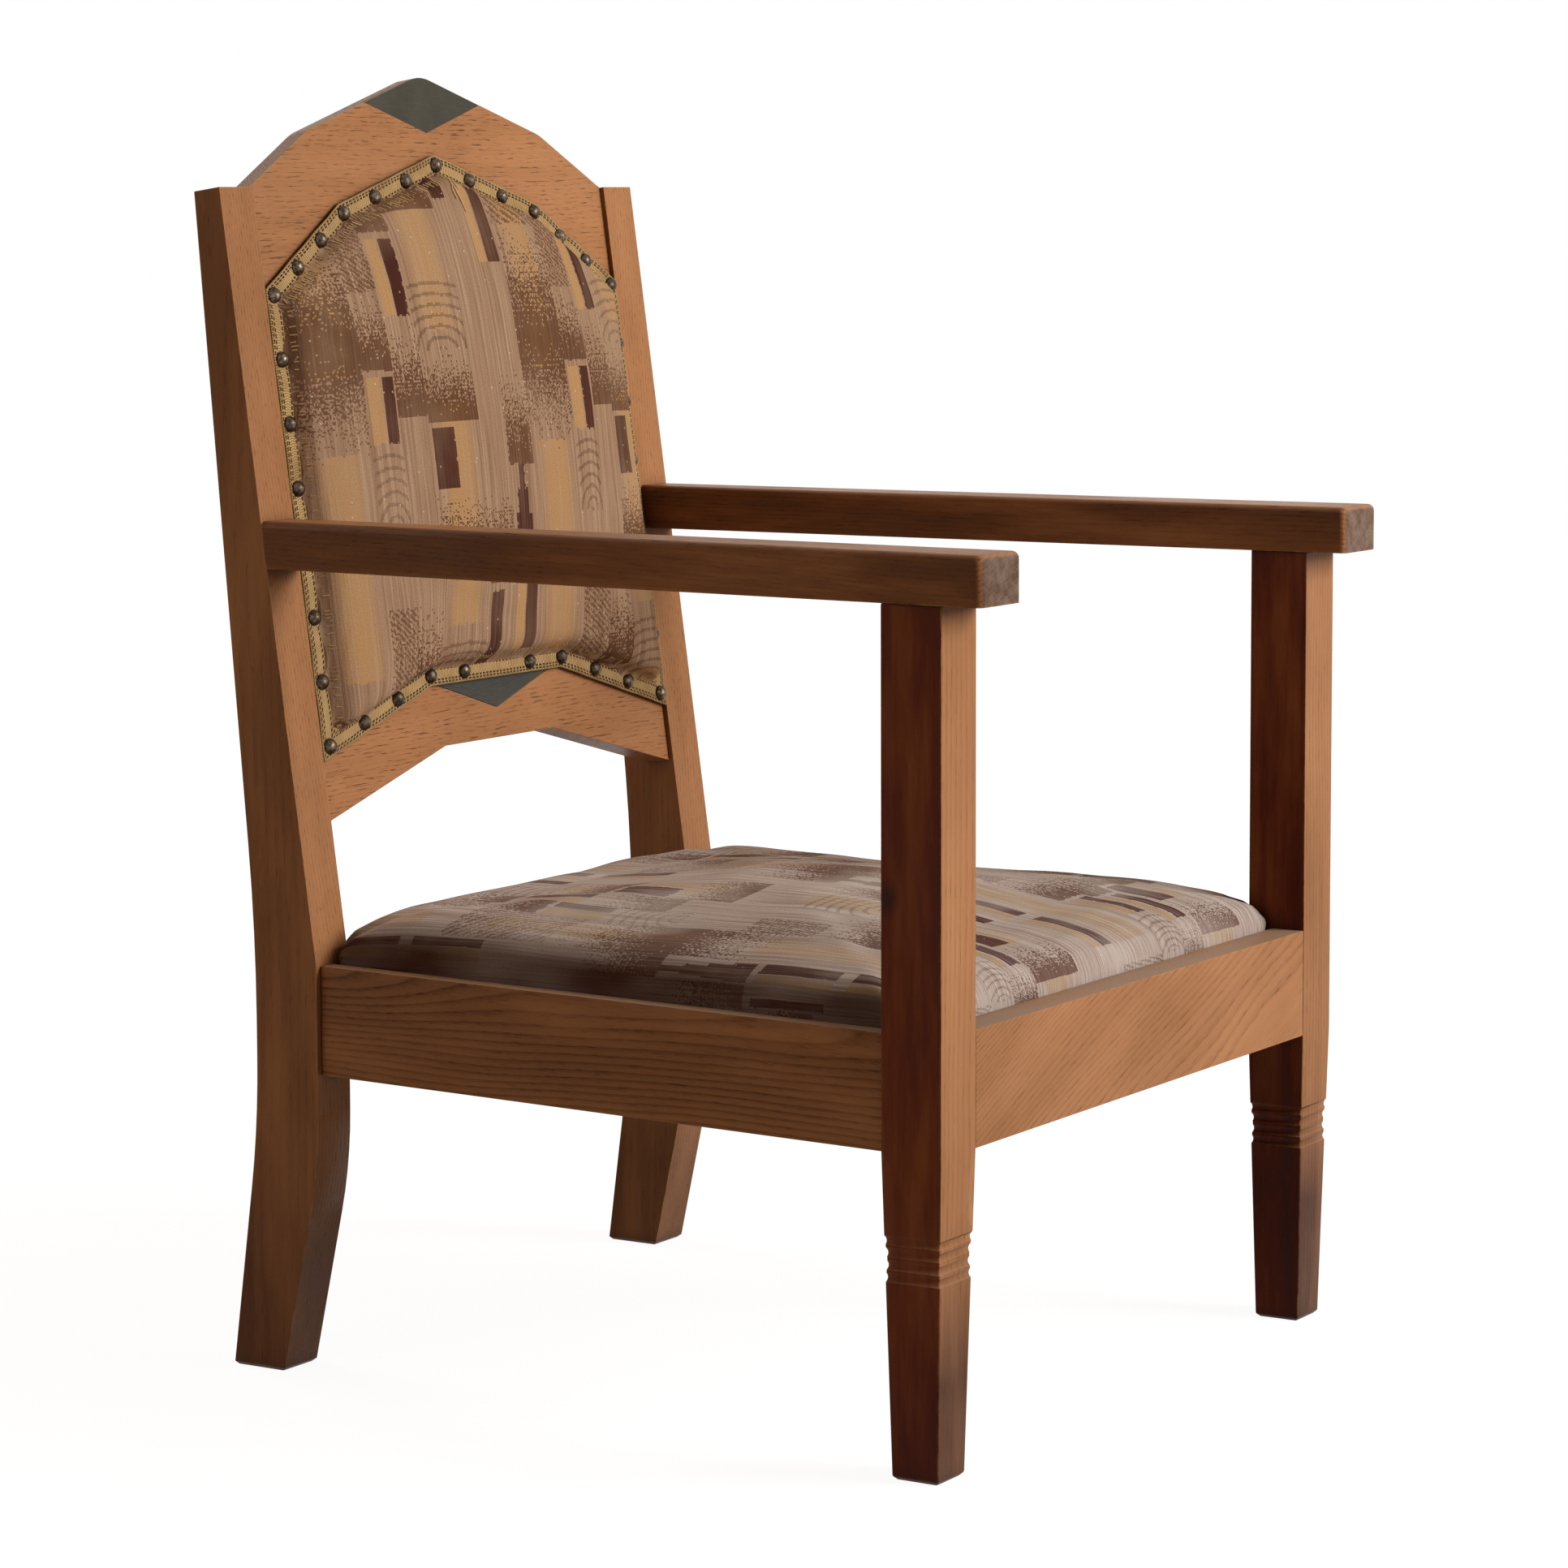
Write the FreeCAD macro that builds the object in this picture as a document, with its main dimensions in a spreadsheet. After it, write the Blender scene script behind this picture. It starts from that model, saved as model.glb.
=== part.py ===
"""Low oak fireside armchair with a gabled, upholstered back and a drop-in seat.

The chair faces -Y, +Z is up, lengths are millimetres. While a piece is drawn, Y is measured from the front
face of the front legs, and its placement then moves it so that the origin is under the middle of the chair.
Pieces of the back are drawn upright and leaned by their placement: X across, Y behind the front faces of the
posts, Z up the slope from the top of the seat rails. Right and left are the sitter's: right is -X.
"""
import FreeCAD
import Part

import math
import operator
import os

import Sketcher

# Driving dimensions: alias, value, what it is
DIMENSIONS = [
    ("arm_height", 645.2, "floor to the top of the arms"),
    ("front_width", 616, "over the outer faces of the front legs"),
    ("rear_width", 552, "over the outer faces of the rear posts"),
    ("seat_depth", 557, "front faces of the legs to front faces of the posts"),
    ("rail_top", 313, "floor to the top of the seat rails"),
    ("rail_height", 83, "height of the seat rails"),
    ("leg_size", 48, "front leg, square"),
    ("foot_size", 37, "front leg at the floor, square"),
    ("foot_chamfer", 2.5, "edge at the floor"),
    ("band_height", 34, "reeded band of the front leg"),
    ("band_bottom", 139, "floor to the reeded band"),
    ("band_waist", 1.2, "how far the band is drawn in on each face"),
    ("groove_count", 4, "grooves in the band"),
    ("groove_radius", 6, "radius of a groove"),
    ("groove_depth", 0.9, "depth of a groove"),
    ("post_width", 40, "rear post across the chair"),
    ("post_depth", 57, "rear post at the seat rails"),
    ("post_top_depth", 24, "rear post at its top"),
    ("post_rise", 586, "rear post above the seat rails, up the slope"),
    ("lean", 7.95, "lean of the back, degrees"),
    ("rear_lean", 4.9, "lean of the rear faces of the posts, degrees"),
    ("rear_bend_bottom", 270, "floor to the start of the bend in the rear face"),
    ("rear_bend_height", 130, "height of that bend"),
    ("front_sweep_top", 200, "floor to the start of the sweep of the foot, front face"),
    ("front_sweep_height", 80, "height of that curve"),
    ("front_rake", 12.5, "rake of the foot below it, degrees"),
    ("rear_sweep_top", 240, "floor to the start of the sweep of the foot, rear face"),
    ("rear_sweep_height", 100, "height of that curve"),
    ("rear_rake", 7.7, "rake of the foot below it, degrees"),
    ("arm_thickness", 35.5, "arm"),
    ("arm_front_width", 57, "arm at its front end"),
    ("arm_side_overhang", 6, "arm outside the front leg, at its front end"),
    ("arm_front_overhang", 34, "arm in front of the front leg"),
    ("arm_corner_radius", 6, "front corners of the arm in plan"),
    ("arm_edge_radius", 5, "upper edges of the arm"),
    ("front_rail_thickness", 40, "front seat rail"),
    ("side_rail_thickness", 27, "side seat rail"),
    ("side_rail_setback", 5, "side rail inside the outer faces of leg and post"),
    ("rear_rail_thickness", 27, "rear seat rail"),
    ("rear_rail_setback", 2, "rear rail behind the front faces of the posts"),
    ("rebate_width", 12, "ledge for the drop-in seat"),
    ("rebate_depth", 18, "ledge below the top of the rails"),
    ("tenon_thickness", 10, "tenons of the seat rails"),
    ("tenon_length", 22, "tenons of the front and side rails"),
    ("rear_tenon_length", 13, "tenons of the rear rail, short of those of the side rails"),
    ("tenon_shoulder", 9, "wood above and below a tenon"),
    ("tenon_clearance", 0.3, "room round a tenon in its mortise"),
    ("leg_tenon_size", 24, "tenon on the front leg, square"),
    ("leg_tenon_height", 25, "its height inside the arm"),
    ("arm_tenon_width", 20, "tenon of the arm in the post"),
    ("arm_tenon_length", 18, "tenon of the arm behind the front face of the post"),
    ("block_leg", 60, "corner block along each rail"),
    ("block_height", 30, "corner block"),
    ("block_drop", 6, "corner block below the ledge"),
    ("back_recess", 4, "back rails behind the front faces of the posts"),
    ("back_thickness", 15.5, "crest rail and stiles, and the lower back rail at its upper edge"),
    ("lower_thickness", 22.5, "lower back rail below the outer cloth"),
    ("lower_rebate", 21, "ledge for the outer cloth below the upper edge of the lower back rail"),
    ("back_tenon_thickness", 8, "tenons of the back rails and stiles"),
    ("back_tenon_length", 18, "tenons of the back rails in the posts"),
    ("stile_tenon_length", 15, "tenons of the stiles in the back rails"),
    ("stile_width", 35, "stile beside a post"),
    ("crest_bottom", 480, "lower edge of the crest rail, under the pad"),
    ("crest_end", 586, "crest rail at the posts"),
    ("crest_knee_out", 156, "knee of the gable from the middle"),
    ("crest_knee", 629.5, "knee of the gable"),
    ("crest_apex", 675.5, "apex of the gable, before it is rounded"),
    ("crest_round", 45, "radius of the gable's knees and apex"),
    ("lower_end", 104, "lower edge of the lower back rail at the posts"),
    ("lower_knee_out", 74, "knee of its arch from the middle"),
    ("lower_knee", 147, "flat middle of its arch"),
    ("lower_top", 225, "its upper edge, under the pad"),
    ("inlay_thickness", 3, "inlays"),
    ("crest_inlay_out", 77, "crest inlay, half its width"),
    ("crest_inlay_height", 46, "crest inlay, from the apex of the gable to its lower tip"),
    ("lower_inlay_out", 92, "lower inlay, half its width"),
    ("lower_inlay_top", 200, "lower inlay, upper edge under the braid"),
    ("lower_inlay_height", 29, "lower inlay, from its upper edge to its lower tip"),
    ("cloth", 1, "hessian and outer cloth"),
    ("pad_out", 234.5, "back panel, half its width"),
    ("pad_foot", 151.5, "back panel, lower corners"),
    ("pad_foot_knee_out", 89, "back panel, knee of the lower edge from the middle"),
    ("pad_foot_knee", 196, "back panel, flat middle of the lower edge"),
    ("pad_shoulder", 508, "back panel, upper corners"),
    ("pad_knee_out", 131.4, "back panel, knee of the upper edge from the middle"),
    ("pad_knee", 572, "back panel, knee of the upper edge"),
    ("pad_apex", 610.6, "back panel, apex"),
    ("pad_flange", 2, "edge of the cover under the braid"),
    ("pad_crown", 40, "stuffing in front of that edge"),
    ("pad_roll", 20, "how far its rounded edge draws in"),
    ("pad_roll_height", 24, "height of that edge"),
    ("braid_width", 14.5, "braid"),
    ("braid_thickness", 1.6, "braid"),
    ("nail_radius", 6.1, "dome nail"),
    ("nail_height", 5.2, "dome nail"),
    ("nail_sides", 12, "flats round a dome nail"),
    ("nail_side_count", 7, "steps between nails along a side"),
    ("nail_slope_count", 3, "steps between nails along each slope"),
    ("nail_flat_count", 4, "steps between nails along the flat lower edge"),
    ("seat_gap", 1.5, "room round the drop-in seat"),
    ("seat_cover", 2.5, "cover round the edges of the loose frame"),
    ("seat_frame_width", 50, "members of the loose frame"),
    ("seat_frame_thickness", 16, "members of the loose frame"),
    ("strap_width", 50, "webbing"),
    ("strap_thickness", 2, "webbing"),
    ("strap_count", 4, "straps each way"),
    ("seat_crown", 62, "top of the seat above the rails"),
    ("seat_wall", 6, "upright edge of the seat above the rails"),
    ("seat_roll", 80, "how far its rounded edge draws in"),
    ("seat_roll_height", 30, "height of that edge"),
]

# Crowns: steps round the edge, shares of the way on to the middle, and how round a corner gets at the top
ROLL_STEPS = 4
CROWN_SHARES = (0.15, 0.4, 0.7)
CORNER_ALONG = 0.6
CORNER_ACROSS = 0.86

# Rings of a dome nail, as shares of the way from its middle to its edge
DOME_RINGS = (1, 0.75, 0.48, 0.2)

# Points closer than this are taken as one
TOUCH = 0.001

OPERATIONS = {"+": operator.add, "-": operator.sub, "*": operator.mul, "/": operator.truediv}


class Size:
    """A number together with the sheet formula that it comes from."""

    def __init__(self, number, formula):
        self.number = number
        self.formula = formula

    def combined(self, sign, other):
        other = as_size(other)
        return Size(OPERATIONS[sign](self.number, other.number), f"({self.formula} {sign} {other.formula})")

    def __add__(self, other):
        return self.combined("+", other)

    def __sub__(self, other):
        return self.combined("-", other)

    def __mul__(self, other):
        return self.combined("*", other)

    def __truediv__(self, other):
        return self.combined("/", other)

    def __radd__(self, other):
        return as_size(other) + self

    def __rsub__(self, other):
        return as_size(other) - self

    def __rmul__(self, other):
        return as_size(other) * self

    def __rtruediv__(self, other):
        return as_size(other) / self

    def __neg__(self):
        return as_size(0) - self


def as_size(value):
    return value if isinstance(value, Size) else Size(float(value), repr(float(value)))


def sine(angle):
    return Size(math.sin(math.radians(angle.number)), f"sin({angle.formula})")


def cosine(angle):
    return Size(math.cos(math.radians(angle.number)), f"cos({angle.formula})")


def tangent(angle):
    return Size(math.tan(math.radians(angle.number)), f"tan({angle.formula})")


def root(size):
    return Size(math.sqrt(size.number), f"sqrt({size.formula})")


# The document and its sheet of driving dimensions
doc = FreeCAD.newDocument("fireside_armchair")
sheet = doc.addObject("Spreadsheet::Sheet", "Sizes")
for row, (alias, value, note) in enumerate(DIMENSIONS, start=1):
    sheet.set(f"A{row}", str(value))
    sheet.setAlias(f"A{row}", alias)
    sheet.set(f"B{row}", note)
doc.recompute()


class Sheet:
    """Each driving dimension by its name."""

    def __getattr__(self, alias):
        return Size(float(getattr(sheet, alias)), f"Sizes.{alias}")


dim = Sheet()

# Levels and lines that several pieces share
rail_bottom = dim.rail_top - dim.rail_height
ledge = dim.rail_top - dim.rebate_depth
arm_bottom = dim.arm_height - dim.arm_thickness
leg_outer = dim.front_width / 2
leg_inner = leg_outer - dim.leg_size
post_outer = dim.rear_width / 2
post_inner = post_outer - dim.post_width
rear_rail_front = dim.seat_depth + dim.rear_rail_setback
tenon_bottom = rail_bottom + dim.tenon_shoulder
tenon_top = ledge - dim.tenon_shoulder
back_rear = dim.back_recess + dim.back_thickness
back_tenon_front = dim.back_recess + (dim.back_thickness - dim.back_tenon_thickness) / 2
back_tenon_rear = back_tenon_front + dim.back_tenon_thickness
gable_slope = (dim.crest_apex - dim.crest_knee) / dim.crest_knee_out
crest_top = dim.crest_apex - dim.crest_round * (root(1 + gable_slope * gable_slope) - 1)
rear_end = dim.seat_depth + crest_top * sine(dim.lean) + back_rear * cosine(dim.lean)
middle = (rear_end - dim.arm_front_overhang) / 2


def side_rail_outer(y):
    """Outer face of a side rail, which runs from the front leg in to the rear post."""
    share = (y - dim.leg_size) / (dim.seat_depth - dim.leg_size)
    return leg_outer - dim.side_rail_setback - (leg_outer - post_outer) * share


def post_front(z):
    """Front face of a post above the seat rails."""
    return dim.seat_depth + (z - dim.rail_top) * tangent(dim.lean)


def on_back(behind, up):
    """Y and Z, before placement, of a point given behind the posts' front faces and up the slope."""
    y = dim.seat_depth + behind * cosine(dim.lean) + up * sine(dim.lean)
    z = dim.rail_top - behind * sine(dim.lean) + up * cosine(dim.lean)
    return y, z


# Sketches and features
def new_body(name):
    """Body of a piece drawn in chair coordinates."""
    body = doc.addObject("PartDesign::Body", name)
    body.Label = name
    body.setExpression("Placement.Base.y", (-middle).formula)
    return body


def new_back_body(name):
    """Body of a piece drawn upright and leaned with the back."""
    body = doc.addObject("PartDesign::Body", name)
    body.Label = name
    body.Placement = back_placement()
    body.setExpression("Placement.Base.y", (dim.seat_depth - middle).formula)
    body.setExpression("Placement.Base.z", dim.rail_top.formula)
    body.setExpression("Placement.Rotation.Angle", (-dim.lean).formula)
    return body


def back_placement():
    base = FreeCAD.Vector(0, (dim.seat_depth - middle).number, dim.rail_top.number)
    return FreeCAD.Placement(base, FreeCAD.Rotation(FreeCAD.Vector(1, 0, 0), -dim.lean.number))


def vector(corner):
    return FreeCAD.Vector(as_size(corner[0]).number, as_size(corner[1]).number, 0)


def add_edge(sketch, corner, following):
    """Line, or arc where the corner has a signed radius (plus turns left). Gives its end points in order."""
    first, last = vector(corner), vector(following)
    if len(corner) == 2:
        return sketch.addGeometry(Part.LineSegment(first, last)), 1, 2
    radius = corner[2].number
    chord = last - first
    half = chord.Length / 2
    height = math.sqrt(radius * radius - half * half)
    left = FreeCAD.Vector(-chord.y, chord.x, 0).normalize()
    centre = first + chord * 0.5 + left * math.copysign(height, radius)
    start, end = (first, last) if radius > 0 else (last, first)
    angles = [math.atan2(point.y - centre.y, point.x - centre.x) for point in (start, end)]
    circle = Part.Circle(centre, FreeCAD.Vector(0, 0, 1), abs(radius))
    edge = sketch.addGeometry(Part.ArcOfCircle(circle, *angles))
    return (edge, 1, 2) if radius > 0 else (edge, 2, 1)


def constrain(sketch, rules):
    """Adds constraints, each with the size that drives it, or None."""
    rows = sketch.addConstraint([rule for rule, size in rules])
    for line, (rule, size) in zip(rows, rules):
        if size is not None:
            sketch.setExpression(f"Constraints[{line}]", size.formula)


def at(edge, point, corner):
    """Rules that hold a point of an edge at a corner's coordinates."""
    rules = []
    for kind, axis, value in (("DistanceX", -2, corner[0]), ("DistanceY", -1, corner[1])):
        size = as_size(value)
        if isinstance(value, Size):
            rules.append((Sketcher.Constraint(kind, -1, 1, edge, point, size.number), size))
        else:
            rules.append((Sketcher.Constraint("PointOnObject", edge, point, axis), None))
    return rules


def add_outline(sketch, corners):
    """Closed outline of lines and arcs through corners whose coordinates come from the sheet."""
    following = corners[1:] + corners[:1]
    edges = [add_edge(sketch, corner, after) for corner, after in zip(corners, following)]
    rules = []
    for (edge, first, last), (after, start, end), corner in zip(edges, edges[1:] + edges[:1], corners):
        rules.append((Sketcher.Constraint("Coincident", edge, last, after, start), None))
        rules.extend(at(edge, first, corner))
        if len(corner) == 3:
            radius = corner[2] if corner[2].number > 0 else -corner[2]
            rules.append((Sketcher.Constraint("Radius", edge, radius.number), radius))
    constrain(sketch, rules)


def add_circle(sketch, centre, radius):
    circle = Part.Circle(vector(centre), FreeCAD.Vector(0, 0, 1), radius.number)
    edge = sketch.addGeometry(circle)
    rules = at(edge, 3, centre)
    rules.append((Sketcher.Constraint("Radius", edge, radius.number), radius))
    constrain(sketch, rules)


def new_sketch(body, plane, level):
    """Sketch on a plane of the body, moved to a level along the axis that the plane leaves out."""
    sketch = body.newObject("Sketcher::SketchObject", f"{body.Name}_sketch")
    support = [feature for feature in body.Origin.OriginFeatures if feature.Role == f"{plane}_Plane"]
    sketch.AttachmentSupport = [(support[0], "")]
    sketch.MapMode = "FlatFace"
    offset = -level if plane == "XZ" else level
    sketch.setExpression("AttachmentOffset.Base.z", as_size(offset).formula)
    return sketch


def extrude(body, kind, plane, sketch, low, high, is_reversed):
    feature = body.newObject(f"PartDesign::{kind}", f"{body.Name}_{kind.lower()}")
    feature.Profile = sketch
    feature.Reversed = is_reversed
    feature.setExpression("Length", (as_size(high) - low).formula)
    sketch.Visibility = False
    return feature


def pad(body, plane, outlines, low, high):
    """Adds the outlines between two levels along the axis that the plane leaves out."""
    sketch = new_sketch(body, plane, as_size(low))
    for corners in outlines:
        add_outline(sketch, corners)
    return extrude(body, "Pad", plane, sketch, low, high, plane == "XZ")


def cut(body, plane, outlines, low, high):
    """Takes the outlines away between two levels."""
    sketch = new_sketch(body, plane, as_size(low))
    for corners in outlines:
        add_outline(sketch, corners)
    return extrude(body, "Pocket", plane, sketch, low, high, plane != "XZ")


def cut_circles(body, plane, circles, low, high):
    sketch = new_sketch(body, plane, as_size(low))
    for centre, radius in circles:
        add_circle(sketch, centre, radius)
    return extrude(body, "Pocket", plane, sketch, low, high, plane != "XZ")


def loft(body, plane, sections, ruled):
    """Adds a loft through outlines at their levels."""
    sketches = []
    for level, corners in sections:
        sketch = new_sketch(body, plane, level)
        add_outline(sketch, corners)
        sketches.append(sketch)
    feature = body.newObject("PartDesign::AdditiveLoft", f"{body.Name}_loft")
    feature.Profile = sketches[0]
    feature.Sections = sketches[1:]
    feature.Ruled = ruled
    return feature


def dress(body, kind, size, chosen):
    """Fillet or chamfer on the edges of the body whose middle passes a test."""
    doc.recompute()
    tip = body.Tip
    edges = enumerate(tip.Shape.Edges, start=1)
    names = [f"Edge{number}" for number, edge in edges if chosen(edge.CenterOfMass)]
    feature = body.newObject(f"PartDesign::{kind}", f"{body.Name}_{kind.lower()}")
    feature.Base = (tip, names)
    feature.setExpression("Radius" if kind == "Fillet" else "Size", size.formula)
    return feature


# Outlines
def rectangle(left, low, right, high):
    return [(left, low), (right, low), (right, high), (left, high)]


def mirrored(side, corners):
    """Corners on the chosen side of the chair: 1 is the sitter's left, -1 the right."""
    return [(corner[0] if side > 0 else -corner[0],) + tuple(corner[1:]) for corner in corners]


def span(side, near, far):
    """Two levels across the chair, the lower one first."""
    return (near, far) if side > 0 else (-far, -near)


def both_sides(half):
    """Closed outline from the corners of its +X half, listed upwards."""
    return half + [(-x, y) for x, y in reversed(half) if isinstance(x, Size)]


def inset(corners, distance):
    """Outline moved inwards by a distance, for corners listed anticlockwise."""
    before = corners[-1:] + corners[:-1]
    after = corners[1:] + corners[:1]
    moved = []
    for previous, corner, following in zip(before, corners, after):
        first = inward(previous, corner)
        second = inward(corner, following)
        scale = distance / (1 + first[0] * second[0] + first[1] * second[1])
        across = 0 if not isinstance(corner[0], Size) else corner[0] + scale * (first[0] + second[0])
        moved.append((across, corner[1] + scale * (first[1] + second[1])))
    return moved


def inward(corner, following):
    """Unit vector square to an edge, on its left."""
    run = as_size(following[0]) - corner[0]
    rise = as_size(following[1]) - corner[1]
    length = root(run * run + rise * rise)
    return -rise / length, run / length


def crown_steps(roll, roll_height, rise, reach):
    """Distances in and up of a crowned pad, round its edge and on to its top, with the share of the way."""
    steps = []
    for number in range(1, ROLL_STEPS + 1):
        share = number / ROLL_STEPS
        turn = math.radians(90 * share)
        steps.append((roll * (1 - math.cos(turn)), roll_height * math.sin(turn), CROWN_SHARES[0] * share))
    for share in CROWN_SHARES:
        steps.append((roll + (reach - roll) * share, roll_height + rise * (1 - (1 - share) ** 2), share))
    return steps


def shrunk(corners, half_width, low, high, distance):
    """Outline drawn in towards its centre by about the same distance all round."""
    centre = (low + high) / 2
    share_x = 1 - distance / half_width
    share_y = 1 - distance / ((high - low) / 2)
    return [(x * share_x if isinstance(x, Size) else x, centre + (y - centre) * share_y) for x, y in corners]


# Front legs
def half_leg(z, waist):
    """Half the width of a front leg at a height in its tapered part."""
    return dim.foot_size / 2 + (dim.leg_size - dim.foot_size) / 2 * z / rail_bottom - waist


def leg_square(side, half):
    across = leg_outer - dim.leg_size / 2
    along = dim.leg_size / 2
    return mirrored(side, rectangle(across - half, along - half, across + half, along + half))


def front_leg(name, side):
    body = new_body(name)
    pad(body, "XY", [leg_square(side, dim.leg_size / 2)], rail_bottom, arm_bottom)
    pad(body, "XY", [leg_square(side, dim.leg_tenon_size / 2)], arm_bottom, arm_bottom + dim.leg_tenon_height)
    band_top = dim.band_bottom + dim.band_height
    band_middle = dim.band_bottom + dim.band_height / 2
    sections = [(as_size(0), dim.foot_size / 2)]
    sections.append((dim.band_bottom, half_leg(dim.band_bottom, 0)))
    sections.append((band_middle, half_leg(band_middle, dim.band_waist)))
    sections.append((band_top, half_leg(band_top, 0)))
    sections.append((rail_bottom, dim.leg_size / 2))
    loft(body, "XY", [(level, leg_square(side, half)) for level, half in sections], True)
    reed(body, side)
    low, high = span(side, leg_inner, leg_inner + dim.tenon_length + dim.tenon_clearance)
    cut(body, "YZ", [front_tenon(dim.tenon_clearance)], low, high)
    rear_face = dim.leg_size
    mortise = side_tenon(side, dim.leg_size, dim.tenon_clearance)
    cut(body, "XZ", [mortise], rear_face - dim.tenon_length - dim.tenon_clearance, rear_face)
    dress(body, "Chamfer", dim.foot_chamfer, is_floor)


def reed(body, side):
    """Shallow hollow grooves round the band, cut through along X and along Y."""
    count = int(dim.groove_count.number)
    across = leg_outer - dim.leg_size / 2
    along = dim.leg_size / 2
    ends, faces = [], []
    for number in range(count):
        share = (number + 0.5) / count
        level = dim.band_bottom + dim.band_height * share
        face = half_leg(level, dim.band_waist * (1 - abs(2 * share - 1)))
        out = face + dim.groove_radius - dim.groove_depth
        for sign in (-1, 1):
            ends.append(((across * side + out * sign, level), dim.groove_radius))
            faces.append(((along + out * sign, level), dim.groove_radius))
    cut_circles(body, "XZ", ends, as_size(0), dim.leg_size)
    low, high = span(side, leg_inner, leg_outer)
    cut_circles(body, "YZ", faces, low, high)


def front_tenon(clearance):
    """Section of the front rail's tenon, Y across and Z up."""
    along = dim.front_rail_thickness / 2
    half = dim.tenon_thickness / 2 + clearance
    return rectangle(along - half, tenon_bottom - clearance, along + half, tenon_top + clearance)


def side_tenon(side, y, clearance):
    """Section of the side rail's tenon where the rail ends at y, X across and Z up."""
    across = side_rail_outer(y) - dim.side_rail_thickness / 2
    half = dim.tenon_thickness / 2 + clearance
    low, high = tenon_bottom - clearance, tenon_top + clearance
    return mirrored(side, rectangle(across - half, low, across + half, high))


def rear_tenon(clearance):
    """Section of the rear rail's tenon, Y across and Z up."""
    along = rear_rail_front + dim.rear_rail_thickness / 2
    half = dim.tenon_thickness / 2 + clearance
    return rectangle(along - half, tenon_bottom - clearance, along + half, tenon_top + clearance)


# Rear posts
def rear_post(name, side):
    body = new_body(name)
    low, high = span(side, post_inner, post_outer)
    pad(body, "YZ", [post_outline()], low, high)
    mortise = side_tenon(side, dim.seat_depth, dim.tenon_clearance)
    cut(body, "XZ", [mortise], dim.seat_depth, dim.seat_depth + dim.tenon_length + dim.tenon_clearance)
    low, high = span(side, post_inner, post_inner + dim.rear_tenon_length + dim.tenon_clearance)
    cut(body, "YZ", [rear_tenon(dim.tenon_clearance)], low, high)
    room = dim.tenon_clearance
    low, high = span(side, arm_tenon_inner() - room, arm_tenon_inner() + dim.arm_tenon_width + room)
    bottom, top = arm_tenon_low() - room, arm_tenon_high() + room
    cut(body, "YZ", [rectangle(dim.seat_depth, bottom, arm_tenon_rear() + room, top)], low, high)
    low, high = span(side, post_inner, post_inner + dim.back_tenon_length + room)
    cut(body, "YZ", [back_mortise(*crest_tenon_ends()), back_mortise(*lower_tenon_ends())], low, high)
    dress(body, "Chamfer", dim.foot_chamfer, is_floor)


def post_outline():
    """Side view of a post, round from the front of its foot."""
    rear = dim.seat_depth + dim.post_depth
    front_radius = dim.front_sweep_height / sine(dim.front_rake)
    rear_radius = dim.rear_sweep_height / sine(dim.rear_rake)
    bend_radius = dim.rear_bend_height / sine(dim.rear_lean)
    front_foot_top = dim.front_sweep_top - dim.front_sweep_height
    rear_foot_top = dim.rear_sweep_top - dim.rear_sweep_height
    front_swept = dim.seat_depth + front_radius * (1 - cosine(dim.front_rake))
    rear_swept = rear + rear_radius * (1 - cosine(dim.rear_rake))
    bent = rear + bend_radius * (1 - cosine(dim.rear_lean))
    return [
        (rear_swept + rear_foot_top * tangent(dim.rear_rake), 0),
        (rear_swept, rear_foot_top, -rear_radius),
        (rear, dim.rear_sweep_top),
        (rear, dim.rear_bend_bottom, -bend_radius),
        (bent, dim.rear_bend_bottom + dim.rear_bend_height),
        on_back(dim.post_top_depth, dim.post_rise),
        on_back(as_size(0), dim.post_rise),
        (dim.seat_depth, dim.rail_top),
        (dim.seat_depth, dim.front_sweep_top, front_radius),
        (front_swept, front_foot_top),
        (front_swept + front_foot_top * tangent(dim.front_rake), 0),
    ]


def back_mortise(low, high):
    """Leaning mortise for a back rail, in the side view of a post."""
    room = dim.tenon_clearance
    corners = rectangle(back_tenon_front - room, low - room, back_tenon_rear + room, high + room)
    return [on_back(behind, up) for behind, up in corners]


def crest_tenon_ends():
    return dim.crest_bottom + dim.tenon_shoulder, dim.crest_end - dim.tenon_shoulder


def lower_tenon_ends():
    return dim.lower_end + dim.tenon_shoulder, dim.lower_top - dim.tenon_shoulder


# Arms
def arm_tenon_inner():
    return post_inner + (dim.post_width - dim.arm_tenon_width) / 2


def arm_tenon_low():
    return arm_bottom + dim.tenon_shoulder


def arm_tenon_high():
    return dim.arm_height - dim.tenon_shoulder


def arm_tenon_rear():
    return post_front(arm_bottom) + dim.arm_tenon_length


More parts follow.
